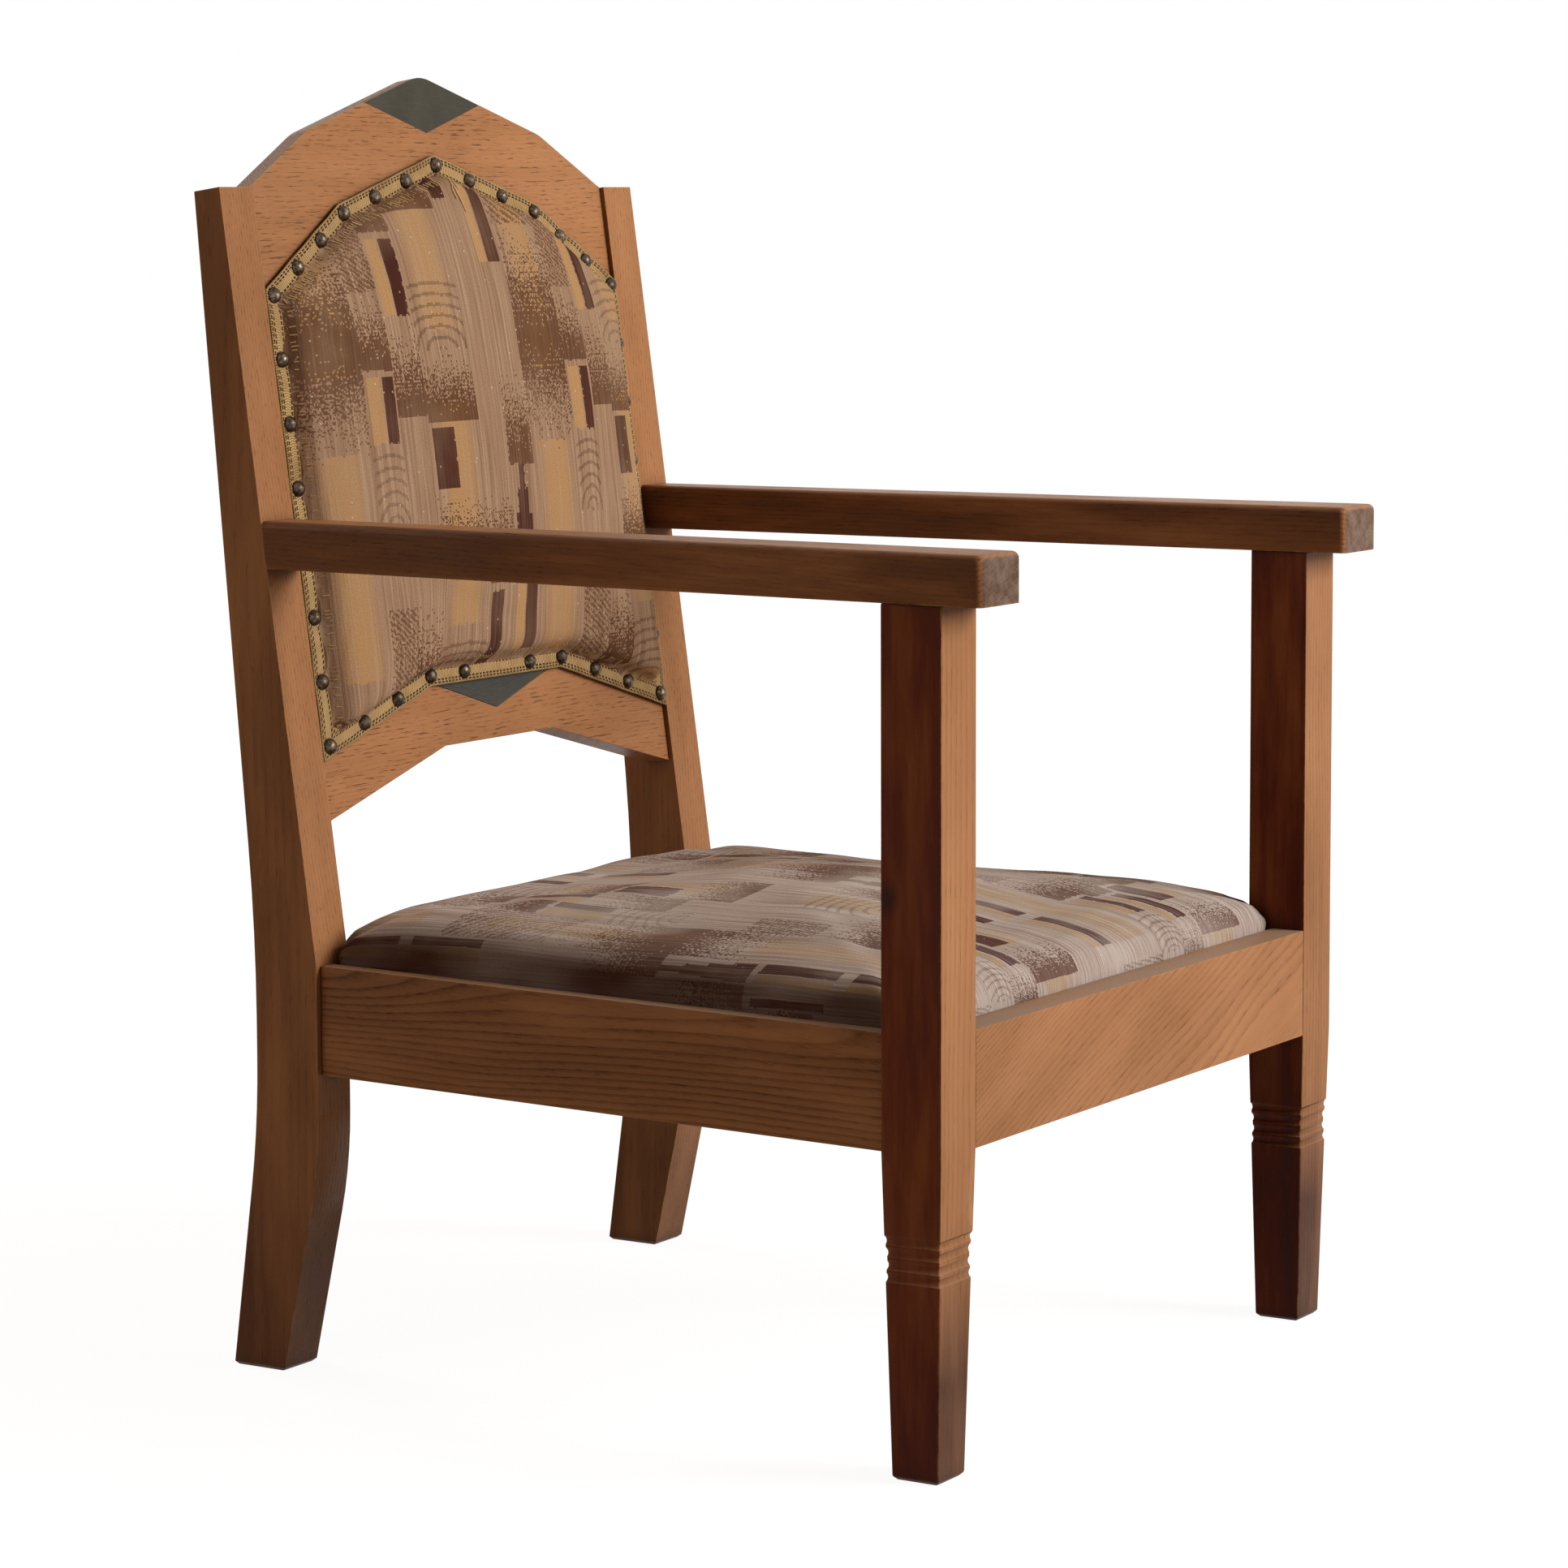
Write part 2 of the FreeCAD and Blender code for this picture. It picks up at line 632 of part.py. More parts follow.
def arm(name, side):
    body = new_body(name)
    front = -dim.arm_front_overhang
    outer_front = leg_outer + dim.arm_side_overhang
    rear = post_front(dim.arm_height)
    inner_front = outer_front - dim.arm_front_width
    plan = [(outer_front, front), (post_outer, rear), (post_inner, rear), (inner_front, front)]
    pad(body, "XY", [mirrored(side, plan)], arm_bottom, dim.arm_height)
    beyond = rear + dim.arm_thickness
    drop = arm_bottom - dim.arm_thickness
    waste = [(post_front(drop), drop), (beyond, drop), (beyond, dim.arm_height), (rear, dim.arm_height)]
    low, high = span(side, as_size(0), outer_front)
    cut(body, "YZ", [waste], low, high)
    dress(body, "Fillet", dim.arm_corner_radius, is_front_corner)
    dress(body, "Fillet", dim.arm_edge_radius, is_upper_edge)
    room = dim.tenon_clearance
    half = dim.leg_tenon_size / 2 + room
    cut(body, "XY", [leg_square(side, half)], arm_bottom, arm_bottom + dim.leg_tenon_height + room)
    inner = arm_tenon_inner()
    start = post_front(arm_bottom) - dim.arm_tenon_length
    tenon = rectangle(inner, start, inner + dim.arm_tenon_width, arm_tenon_rear())
    pad(body, "XY", [mirrored(side, tenon)], arm_tenon_low(), arm_tenon_high())


def is_front_corner(point):
    """True on the two upright edges at the front end of an arm."""
    outer = leg_outer.number + dim.arm_side_overhang.number
    inner = outer - dim.arm_front_width.number
    distance = min(abs(abs(point.x) - outer), abs(abs(point.x) - inner))
    return distance < TOUCH and abs(point.y + dim.arm_front_overhang.number) < TOUCH


def is_upper_edge(point):
    """True on the upper edges of an arm, apart from the one against the post."""
    rear = post_front(dim.arm_height).number
    return abs(point.z - dim.arm_height.number) < TOUCH and abs(point.y - rear) > TOUCH


def is_floor(point):
    return abs(point.z) < TOUCH


# Seat rails
def front_rail(name):
    body = new_body(name)
    plan = rectangle(-leg_inner, as_size(0), leg_inner, dim.front_rail_thickness)
    pad(body, "XY", [plan], rail_bottom, dim.rail_top)
    reach = leg_inner + dim.tenon_length
    pad(body, "YZ", [front_tenon(0)], -reach, reach)
    rim = dim.front_rail_thickness - dim.rebate_width
    cut(body, "XY", [rectangle(-leg_inner, rim, leg_inner, dim.front_rail_thickness)], ledge, dim.rail_top)


def side_rail(name, side):
    body = new_body(name)
    front, rear = dim.leg_size, dim.seat_depth
    plan = rail_strip(front, rear, as_size(0), dim.side_rail_thickness)
    pad(body, "XY", [mirrored(side, plan)], rail_bottom, dim.rail_top)
    inside = dim.tenon_length / 2
    pad(body, "XZ", [side_tenon(side, front, 0)], front - dim.tenon_length, front + inside)
    pad(body, "XZ", [side_tenon(side, rear, 0)], rear - inside, rear + dim.tenon_length)
    rim = dim.side_rail_thickness - dim.rebate_width
    rebate = rail_strip(front, rear, rim, dim.side_rail_thickness)
    cut(body, "XY", [mirrored(side, rebate)], ledge, dim.rail_top)


def rail_strip(front, rear, outer, inner):
    """Strip of a side rail between two distances in from its outer face."""
    return [
        (side_rail_outer(front) - inner, front),
        (side_rail_outer(front) - outer, front),
        (side_rail_outer(rear) - outer, rear),
        (side_rail_outer(rear) - inner, rear),
    ]


def rear_rail(name):
    body = new_body(name)
    front = rear_rail_front
    rear = front + dim.rear_rail_thickness
    pad(body, "XY", [rectangle(-post_inner, front, post_inner, rear)], rail_bottom, dim.rail_top)
    reach = post_inner + dim.rear_tenon_length
    pad(body, "YZ", [rear_tenon(0)], -reach, reach)
    rebate = rectangle(-post_inner, front, post_inner, front + dim.rebate_width)
    cut(body, "XY", [rebate], ledge, dim.rail_top)


def corner_block(name, side, plan):
    body = new_body(name)
    top = ledge - dim.block_drop
    pad(body, "XY", [mirrored(side, plan)], top - dim.block_height, top)


def front_block_plan():
    """Block in a front corner, fitted round the leg."""
    rail_face = dim.front_rail_thickness
    leg_face = dim.leg_size
    end = leg_face + dim.block_leg
    return [
        (leg_inner - dim.block_leg, rail_face),
        (leg_inner, rail_face),
        (leg_inner, leg_face),
        (side_rail_outer(leg_face) - dim.side_rail_thickness, leg_face),
        (side_rail_outer(end) - dim.side_rail_thickness, end),
    ]


def rear_block_plan():
    """Block in a rear corner, fitted round the post."""
    post_face = dim.seat_depth
    start = post_face - dim.block_leg
    return [
        (side_rail_outer(start) - dim.side_rail_thickness, start),
        (side_rail_outer(post_face) - dim.side_rail_thickness, post_face),
        (post_inner, post_face),
        (post_inner, rear_rail_front),
        (post_inner - dim.block_leg, rear_rail_front),
    ]


# Back frame
def crest_slope(x):
    """Upper edge of the crest rail between its knee and its apex."""
    return dim.crest_apex - gable_slope * x


def crest_inlay_outline():
    tip = dim.crest_apex - dim.crest_inlay_height
    edge = crest_slope(dim.crest_inlay_out)
    return both_sides([(0, tip), (dim.crest_inlay_out, edge), (0, dim.crest_apex)])


def lower_inlay_outline():
    tip = dim.lower_inlay_top - dim.lower_inlay_height
    return both_sides([(0, tip), (dim.lower_inlay_out, dim.lower_inlay_top)])


def crest_rail(name):
    body = new_back_body(name)
    half = [
        (post_inner, dim.crest_bottom),
        (post_inner, dim.crest_end),
        (dim.crest_knee_out, dim.crest_knee),
        (0, dim.crest_apex),
    ]
    pad(body, "XZ", [both_sides(half)], dim.back_recess, back_rear)
    dress(body, "Fillet", dim.crest_round, is_gable_corner)
    back_tenons(body, *crest_tenon_ends())
    stile_mortises(body, dim.crest_bottom, dim.crest_bottom + dim.stile_tenon_length + dim.tenon_clearance)
    cut(body, "XZ", [crest_inlay_outline()], dim.back_recess, dim.back_recess + dim.inlay_thickness)


def is_gable_corner(point):
    """True on the edges at the knees and the apex of the gable."""
    corners = [(dim.crest_knee_out.number, dim.crest_knee.number), (0, dim.crest_apex.number)]
    return any(abs(abs(point.x) - x) < TOUCH and abs(point.z - z) < TOUCH for x, z in corners)


def lower_back_rail(name):
    body = new_back_body(name)
    half = [
        (dim.lower_knee_out, dim.lower_knee),
        (post_inner, dim.lower_end),
        (post_inner, dim.lower_top),
    ]
    pad(body, "XZ", [both_sides(half)], dim.back_recess, back_rear)
    below_cloth = half[:2] + [(post_inner, dim.lower_top - dim.lower_rebate)]
    pad(body, "XZ", [both_sides(below_cloth)], back_rear, dim.back_recess + dim.lower_thickness)
    back_tenons(body, *lower_tenon_ends())
    stile_mortises(body, dim.lower_top - dim.stile_tenon_length - dim.tenon_clearance, dim.lower_top)
    cut(body, "XZ", [lower_inlay_outline()], dim.back_recess, dim.back_recess + dim.inlay_thickness)


def back_tenons(body, low, high):
    """Tenons at both ends of a back rail, rooted a little inside it."""
    tenon = rectangle(post_inner - dim.tenon_shoulder, low, post_inner + dim.back_tenon_length, high)
    pad(body, "XZ", [mirrored(side, tenon) for side in (-1, 1)], back_tenon_front, back_tenon_rear)


def stile_tenon(side, low, high, clearance):
    inner = post_inner - dim.stile_width + dim.tenon_shoulder - clearance
    outer = post_inner - dim.tenon_shoulder + clearance
    return mirrored(side, rectangle(inner, low, outer, high))


def stile_mortises(body, low, high):
    room = dim.tenon_clearance
    outlines = [stile_tenon(side, low, high, room) for side in (-1, 1)]
    cut(body, "XZ", outlines, back_tenon_front - room, back_tenon_rear + room)


def stile(name, side):
    body = new_back_body(name)
    plan = rectangle(post_inner - dim.stile_width, dim.lower_top, post_inner, dim.crest_bottom)
    pad(body, "XZ", [mirrored(side, plan)], dim.back_recess, back_rear)
    low = dim.lower_top - dim.stile_tenon_length
    high = dim.crest_bottom + dim.stile_tenon_length
    pad(body, "XZ", [stile_tenon(side, low, high, 0)], back_tenon_front, back_tenon_rear)


def inlay(name, outline):
    body = new_back_body(name)
    pad(body, "XZ", [outline], dim.back_recess, dim.back_recess + dim.inlay_thickness)
    return body


# Upholstery of the back
def pad_outline():
    """Back panel from the middle of its lower edge, anticlockwise as seen from the front."""
    half = [
        (dim.pad_foot_knee_out, dim.pad_foot_knee),
        (dim.pad_out, dim.pad_foot),
        (dim.pad_out, dim.pad_shoulder),
        (dim.pad_knee_out, dim.pad_knee),
        (0, dim.pad_apex),
    ]
    return both_sides(half)


hessian_front = dim.back_recess - dim.cloth
flange_front = hessian_front - dim.pad_flange
braid_front = flange_front - dim.braid_thickness


def back_hessian(name):
    body = new_back_body(name)
    pad(body, "XZ", [pad_outline()], hessian_front, dim.back_recess)


def back_pad(name):
    body = new_back_body(name)
    pad(body, "XZ", [pad_outline()], flange_front, hessian_front)
    inner = inset(pad_outline(), dim.braid_width)
    half_width = dim.pad_out - dim.braid_width
    rise = dim.pad_crown - dim.pad_roll_height
    sections = [(flange_front, inner)]
    for drawn_in, height, share in crown_steps(dim.pad_roll, dim.pad_roll_height, rise, half_width):
        outline = shrunk(inner, half_width, dim.pad_foot, dim.pad_apex, drawn_in)
        sections.append((flange_front - height, outline))
    loft(body, "XZ", sections, True)


def back_braid(name):
    body = new_back_body(name)
    pad(body, "XZ", [pad_outline(), inset(pad_outline(), dim.braid_width)], braid_front, flange_front)


def nail_places():
    """Middle of each nail on the centre line of the braid, without the one lost from the lower edge."""
    line = inset(pad_outline(), dim.braid_width / 2)
    points = [FreeCAD.Vector(as_size(x).number, braid_front.number, z.number) for x, z in line]
    side = int(dim.nail_side_count.number)
    slope = int(dim.nail_slope_count.number)
    flat = int(dim.nail_flat_count.number)
    steps = [slope, side, slope, slope, slope, slope, side, slope, flat]
    places = []
    for start, end, count in zip(points, points[1:] + points[:1], steps):
        places.extend(start + (end - start) * (number / count) for number in range(count))
    return [place for place in places if abs(place.x) > TOUCH or place.z > dim.pad_shoulder.number]


def dome():
    """Head of a nail with its flat at the origin: rings of a sphere's cap, with flats between them."""
    edge, height, sides = dim.nail_radius.number, dim.nail_height.number, int(dim.nail_sides.number)
    radius = (edge * edge + height * height) / (2 * height)
    widest = math.acos((radius - height) / radius)
    rings = []
    for share in DOME_RINGS:
        out = radius * math.sin(widest * share)
        rise = radius * math.cos(widest * share) - (radius - height)
        turns = [math.tau * number / sides for number in range(sides + 1)]
        points = [FreeCAD.Vector(out * math.cos(turn), -rise, out * math.sin(turn)) for turn in turns]
        rings.append(Part.makePolygon(points))
    return Part.makeLoft(rings, True, True)


def back_nails(name):
    """Dome nails in a group, each with its flat on the braid."""
    head = dome()
    nails = doc.addObject("Part::Feature", name)
    nails.Label = name
    nails.Shape = Part.makeCompound([head.translated(place) for place in nail_places()])
    nails.Placement = back_placement()


def outback_cloth(name):
    """Cover on the rear of the back frame, from the ledge of the lower rail to past the opening."""
    body = new_back_body(name)
    out = post_inner - dim.stile_width / 4
    low = dim.lower_top - dim.lower_rebate
    high = dim.crest_bottom + dim.stile_width / 2
    pad(body, "XZ", [rectangle(-out, low, out, high)], back_rear, back_rear + dim.cloth)


# Drop-in seat
rim_front = dim.front_rail_thickness - dim.rebate_width
rim_side = dim.side_rail_thickness - dim.rebate_width
frame_top = ledge + dim.seat_frame_thickness
strap_top = frame_top + dim.strap_thickness
stuffing_bottom = strap_top + dim.cloth


class SeatPlan:
    """Lines of the drop-in seat in plan, a margin in from the rims, legs and posts."""

    def __init__(self, margin):
        self.margin = margin
        self.front = rim_front + margin
        self.leg_x = leg_inner - margin
        self.leg_y = dim.leg_size + margin
        self.post_y = dim.seat_depth - margin
        self.post_x = post_inner - margin
        self.rear = rear_rail_front + dim.rebate_width - margin

    def side(self, y):
        return side_rail_outer(y) - rim_side - self.margin

    def corner(self, notch_x, notch_y, end, share):
        """Three points of a corner: the notch, or a share of the way from it to a rounded corner."""
        centre = (self.front + self.rear) / 2
        out = self.side(notch_y)
        notch = [(notch_x, end), (notch_x, notch_y), (out, notch_y)]
        round_x = [out * CORNER_ALONG, out * CORNER_ACROSS, out]
        round_y = [end, centre + (end - centre) * CORNER_ACROSS, centre + (end - centre) * CORNER_ALONG]
        pairs = zip(notch, zip(round_x, round_y))
        return [(x + (to_x - x) * share, y + (to_y - y) * share) for (x, y), (to_x, to_y) in pairs]

    def outline(self, share=0):
        front = self.corner(self.leg_x, self.leg_y, self.front, share)
        rear = self.corner(self.post_x, self.post_y, self.rear, share)
        return both_sides(front + rear[::-1])


cover_plan = SeatPlan(dim.seat_gap)
frame_plan = SeatPlan(dim.seat_gap + dim.seat_cover)
front_lap = frame_plan.front + dim.seat_frame_width
rear_lap = frame_plan.rear - dim.seat_frame_width
lap_level = ledge + dim.seat_frame_thickness / 2


def lap(side, low, high):
    """Plan of the half-lap in one corner of the loose frame."""
    width = dim.seat_frame_width
    corners = [
        (frame_plan.side(low) - width, low),
        (frame_plan.side(low), low),
        (frame_plan.side(high), high),
        (frame_plan.side(high) - width, high),
    ]
    return mirrored(side, corners)


def seat_frame_end(name, half, low, high):
    """Front or rear member, which keeps its lower half in the laps."""
    body = new_body(name)
    pad(body, "XY", [both_sides(half)], ledge, frame_top)
    cut(body, "XY", [lap(side, low, high) for side in (-1, 1)], lap_level, frame_top)


def seat_frame_front(name):
    plan = frame_plan
    half = [
        (plan.leg_x, plan.front),
        (plan.leg_x, plan.leg_y),
        (plan.side(plan.leg_y), plan.leg_y),
        (plan.side(front_lap), front_lap),
    ]
    seat_frame_end(name, half, plan.leg_y, front_lap)


def seat_frame_rear(name):
    plan = frame_plan
    half = [
        (plan.side(rear_lap), rear_lap),
        (plan.side(plan.post_y), plan.post_y),
        (plan.post_x, plan.post_y),
        (plan.post_x, plan.rear),
    ]
    seat_frame_end(name, half, rear_lap, plan.post_y)


def seat_frame_side(name, side):
    """Side member, which keeps its upper half in the laps."""
    body = new_body(name)
    plan = frame_plan
    pad(body, "XY", [lap(side, plan.leg_y, plan.post_y)], ledge, frame_top)
    laps = [lap(side, plan.leg_y, front_lap), lap(side, rear_lap, plan.post_y)]
    cut(body, "XY", laps, ledge, lap_level)


def seat_webbing(name):
    """Straps both ways over the loose frame, crossing in one layer."""
    body = new_body(name)
    body.AllowCompound = True
    count = int(dim.strap_count.number)
    half = dim.strap_width / 2
    reach_y = (frame_plan.rear - frame_plan.front) / 2 - dim.seat_frame_width / 2
    centre_y = (frame_plan.front + frame_plan.rear) / 2
    reach_x = frame_plan.side(frame_plan.post_y) - dim.seat_frame_width / 2
    lengthwise, crosswise = [], []
    for number in range(count):
        share = (2 * number + 1) / count - 1
        across = reach_x * share
        along = centre_y + reach_y * share
        lengthwise.append(rectangle(across - half, centre_y - reach_y, across + half, centre_y + reach_y))
        crosswise.append(rectangle(-reach_x, along - half, reach_x, along + half))
    pad(body, "XY", lengthwise, frame_top, strap_top)
    pad(body, "XY", crosswise, frame_top, strap_top)


def seat_hessian(name):
    body = new_body(name)
    pad(body, "XY", [frame_plan.outline()], strap_top, stuffing_bottom)


def seat_pad(name):
    """Stuffing and cover: a skirt round the loose frame, drawn in above it to a crown."""
    body = new_body(name)
    skirt_bottom = ledge + dim.cloth
    wall_top = dim.rail_top + dim.seat_wall
    half_width = cover_plan.side(cover_plan.leg_y)
    rise = dim.seat_crown - dim.seat_wall - dim.seat_roll_height
    sections = [(skirt_bottom, cover_plan.outline()), (wall_top, cover_plan.outline())]
    for drawn_in, height, share in crown_steps(dim.seat_roll, dim.seat_roll_height, rise, half_width):
        outline = shrunk(cover_plan.outline(share), half_width, cover_plan.front, cover_plan.rear, drawn_in)
        sections.append((wall_top + height, outline))
    loft(body, "XY", sections, True)
    cut(body, "XY", [frame_plan.outline()], skirt_bottom, stuffing_bottom)


# The chair
SIDES = (("right", -1), ("left", 1))
for word, sign in SIDES:
    front_leg(f"front_{word}_leg", sign)
    rear_post(f"rear_{word}_post", sign)
    arm(f"{word}_arm", sign)
    side_rail(f"{word}_seat_rail", sign)
    corner_block(f"corner_block_front_{word}", sign, front_block_plan())
    corner_block(f"corner_block_rear_{word}", sign, rear_block_plan())
    stile(f"{word}_back_stile", sign)
    seat_frame_side(f"seat_frame_{word}", sign)
front_rail("front_seat_rail")
rear_rail("rear_seat_rail")
crest_rail("crest_rail")
lower_back_rail("lower_back_rail")
dress(inlay("crest_inlay", crest_inlay_outline()), "Fillet", dim.crest_round, is_gable_corner)
inlay("lower_inlay", lower_inlay_outline())
back_hessian("back_hessian")
back_pad("back_pad")
back_braid("back_braid")
back_nails("back_nails")
outback_cloth("outback_cloth")
seat_frame_front("seat_frame_front")
seat_frame_rear("seat_frame_rear")
seat_webbing("seat_webbing")
seat_hessian("seat_hessian")
seat_pad("seat_pad")
doc.recompute()

# Nothing is written unless every object is sound and every cut took something away
for item in doc.Objects:
    if "Invalid" in item.State or "Error" in item.State:
        raise RuntimeError(f"{item.Name} failed: {item.State}")
    if item.TypeId == "PartDesign::Pocket" and item.Shape.Volume > item.BaseFeature.Shape.Volume - TOUCH:
        raise RuntimeError(f"{item.Name} cuts nothing")
pieces = [item for item in doc.Objects if item.TypeId in ("PartDesign::Body", "Part::Feature")]
for piece in pieces:
    if piece.Shape.isNull() or not piece.Shape.isValid():
        raise RuntimeError(f"{piece.Label} has no valid shape")

os.makedirs("parts", exist_ok=True)
for piece in pieces:
    piece.Shape.exportStep(f"parts/{piece.Label}.step")
print(len(pieces), "pieces written")
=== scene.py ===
# %% [markdown]
# # A low oak fireside armchair
#
# The chair is a stained oak frame with a gabled back, a nailed and braided back panel and a drop-in seat,
# both covered in worn moquette. The wooden frame was drawn in CAD and arrives here with every piece in its
# place, in metres, the sitter facing -Y. This lesson adds what CAD leaves out: finishes, softened edges,
# stuffed covers, braid and nails.

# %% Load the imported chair
import math
import random

import bmesh
import bpy
import numpy as np
from mathutils import Euler, Matrix, Vector, noise
from mathutils.bvhtree import BVHTree


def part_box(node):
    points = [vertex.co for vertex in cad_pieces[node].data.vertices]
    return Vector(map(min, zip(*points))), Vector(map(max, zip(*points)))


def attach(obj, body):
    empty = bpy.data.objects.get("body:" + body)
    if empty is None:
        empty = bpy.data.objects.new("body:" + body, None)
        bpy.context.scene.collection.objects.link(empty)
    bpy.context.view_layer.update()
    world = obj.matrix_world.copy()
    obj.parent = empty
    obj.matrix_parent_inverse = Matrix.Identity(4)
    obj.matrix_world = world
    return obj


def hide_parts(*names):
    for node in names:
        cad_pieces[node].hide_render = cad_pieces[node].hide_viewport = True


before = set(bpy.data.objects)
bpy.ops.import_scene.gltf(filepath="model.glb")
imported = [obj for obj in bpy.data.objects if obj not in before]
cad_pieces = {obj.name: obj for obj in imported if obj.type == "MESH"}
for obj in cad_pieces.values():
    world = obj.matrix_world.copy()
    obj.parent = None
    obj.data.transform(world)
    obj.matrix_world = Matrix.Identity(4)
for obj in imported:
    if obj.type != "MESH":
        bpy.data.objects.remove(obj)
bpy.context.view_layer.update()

scene = bpy.context.scene
scene.view_settings.view_transform = "Standard"

# %% [markdown]
# ## Where the viewer stands
#
# The picture was taken with a long lens from the sitter's right front, a little under the height of the
# crest. The lens axis passes above the middle of the chair, so the film is shifted down a little, as on a
# view camera. A turn round the upright, a tilt and a very small roll are multiplied in that order, which is
# easier to read than one Euler.

# %% Camera
VIEWER = Vector((-3.0949, -1.9204, 0.8837))
VIEW_TURN, VIEW_TILT, VIEW_ROLL = (math.radians(angle) for angle in (-58.205, -5.738, -0.181))
PICTURE_SIDE = 1932
FOCAL_PIXELS = 5890.1
AXIS_ABOVE_MIDDLE = 130

camera = bpy.data.objects.new("camera", bpy.data.cameras.new("camera"))
scene.collection.objects.link(camera)
camera.matrix_world = (
    Matrix.Translation(VIEWER)
    @ Matrix.Rotation(VIEW_TURN, 4, "Z")
    @ Matrix.Rotation(math.pi / 2 + VIEW_TILT, 4, "X")
    @ Matrix.Rotation(VIEW_ROLL, 4, "Z")
)
camera.data.sensor_width = 36
camera.data.lens = 36 * FOCAL_PIXELS / PICTURE_SIDE
camera.data.shift_y = -AXIS_ABOVE_MIDDLE / PICTURE_SIDE
scene.camera = camera
print("lens", round(camera.data.lens, 1), "mm, shift", round(camera.data.shift_y, 3))

# %% [markdown]
# ## Colours and nodes
#
# Colours are read off as the usual hex values, which are gamma encoded, while shaders work in linear
# light. One function converts them. A second one adds any node: names in capitals are its inputs, other
# names its settings, and a value that is itself an output gets linked. The commonest nodes have short forms
# of their own, so that a whole finish reads from top to bottom. A few helpers for pieces follow.

# %% Helpers for every finish
def tint(hex_colour):
    """A hex colour in linear light."""
    parts = (int(hex_colour[place:place + 2], 16) / 255 for place in (1, 3, 5))
    linear = [part / 12.92 if part <= 0.04045 else ((part + 0.055) / 1.055) ** 2.4 for part in parts]
    return (*linear, 1.0)


def put(tree, kind, *values, out=None, stops=None, **settings):
    """Adds a node and gives its output."""
    node = tree.nodes.new("ShaderNode" + kind)
    for name, value in settings.items():
        if name[0].islower():
            setattr(node, name, value)
    inputs = [socket for socket in node.inputs if socket.enabled]
    filled = list(zip(inputs, values))
    for name, value in settings.items():
        if name[0].isupper():
            wanted = name.replace("_", " ")
            filled.append((next(socket for socket in inputs if socket.name == wanted), value))
    for socket, value in filled:
        if isinstance(value, bpy.types.NodeSocket):
            tree.links.new(value, socket)
        elif value is not None:
            socket.default_value = value
    if stops:
        band = node.color_ramp.elements
        band.remove(band[1])
        band[0].position, band[0].color = stops[0]
        for place, colour in stops[1:]:
            band.new(place).color = colour
    if out:
        return node.outputs[out]
    return next((socket for socket in node.outputs if socket.enabled), None)


def calc(tree, operation, *values, **settings):
    """One step of arithmetic."""
    return put(tree, "Math", *values, operation=operation, **settings)


def times(tree, first, second):
    return calc(tree, "MULTIPLY", first, second)


def blend(tree, share, first, second):
    """The first colour, and as much of the second as the share says."""
    return put(tree, "Mix", share, A=first, B=second, data_type="RGBA")


def fade(tree, value, low, high, start, end):
    """Goes from start to end while the value goes from low to high."""
    return put(tree, "MapRange", value, low, high, start, end)


def speckle(tree, vector, scale, detail, roughness=None, out="Fac"):
    """Cloudy noise, this many clouds to a metre."""
    return put(tree, "TexNoise", Vector=vector, Scale=scale, Detail=detail, Roughness=roughness, out=out)


def ramp(tree, value, *stops):
    """Colours that follow a value, each at its place."""
    return put(tree, "ValToRGB", value, stops=[(place, tint(colour)) for place, colour in stops])


def stretch(tree, vector, amounts):
    return put(tree, "VectorMath", vector, amounts, operation="MULTIPLY")


def agree(tree, first, second):
    """How far two directions agree, 1 for the same and 0 for square to each other."""
    return put(tree, "VectorMath", first, second, operation="DOT_PRODUCT", out="Value")


def length_of(tree, vector):
    return put(tree, "VectorMath", vector, operation="LENGTH", out="Value")


def part_of(tree, vector, axis):
    return put(tree, "SeparateXYZ", vector, out=axis)


def seen_directly(tree):
    """1 for what the eye sees, also in a mirror or through glass, and 0 for bounced light."""
    sight = put(tree, "LightPath", out="Is Camera Ray")
    for kind in ("Is Glossy Ray", "Is Transmission Ray"):
        sight = calc(tree, "MAXIMUM", sight, put(tree, "LightPath", out=kind))
    return sight


def start_finish(name):
    finish = bpy.data.materials.new(name)
    finish.use_nodes = True
    finish.node_tree.nodes.clear()
    return finish, finish.node_tree


def end_finish(finish, tree, **surface):
    """The shader that all the steps of a finish lead to."""
    put(tree, "OutputMaterial", Surface=put(tree, "BsdfPrincipled", **surface))
    return finish


WHITE = tint("#FFFFFF")
print("mid oak in linear light", [round(part, 3) for part in tint("#B8865E")])

# %% Helpers for pieces
MM = 0.001
WELD = 0.02 * MM


def welded(node):
    """A copy of a CAD piece whose split corners are joined."""
    body = bmesh.new()
    body.from_mesh(cad_pieces[node].data)
    bmesh.ops.remove_doubles(body, verts=body.verts, dist=WELD)
    return body


def new_piece(name, body):
    """An object of its own from a mesh that was built here."""
    mesh = bpy.data.meshes.new(name)
    body.to_mesh(mesh)
    body.free()
    piece = bpy.data.objects.new(name, mesh)
    scene.collection.objects.link(piece)
    return piece


def faces_of(mesh):
    """The faces of a mesh, ready to be searched for the nearest point."""
    places = [point.co for point in mesh.vertices]
    return BVHTree.FromPolygons(places, [face.vertices for face in mesh.polygons])


def coat(piece, finish):
    """One finish all over, in place of what was there."""
    piece.data.materials.clear()
    piece.data.materials.append(finish)


print("corners closer than", WELD / MM, "mm are joined")
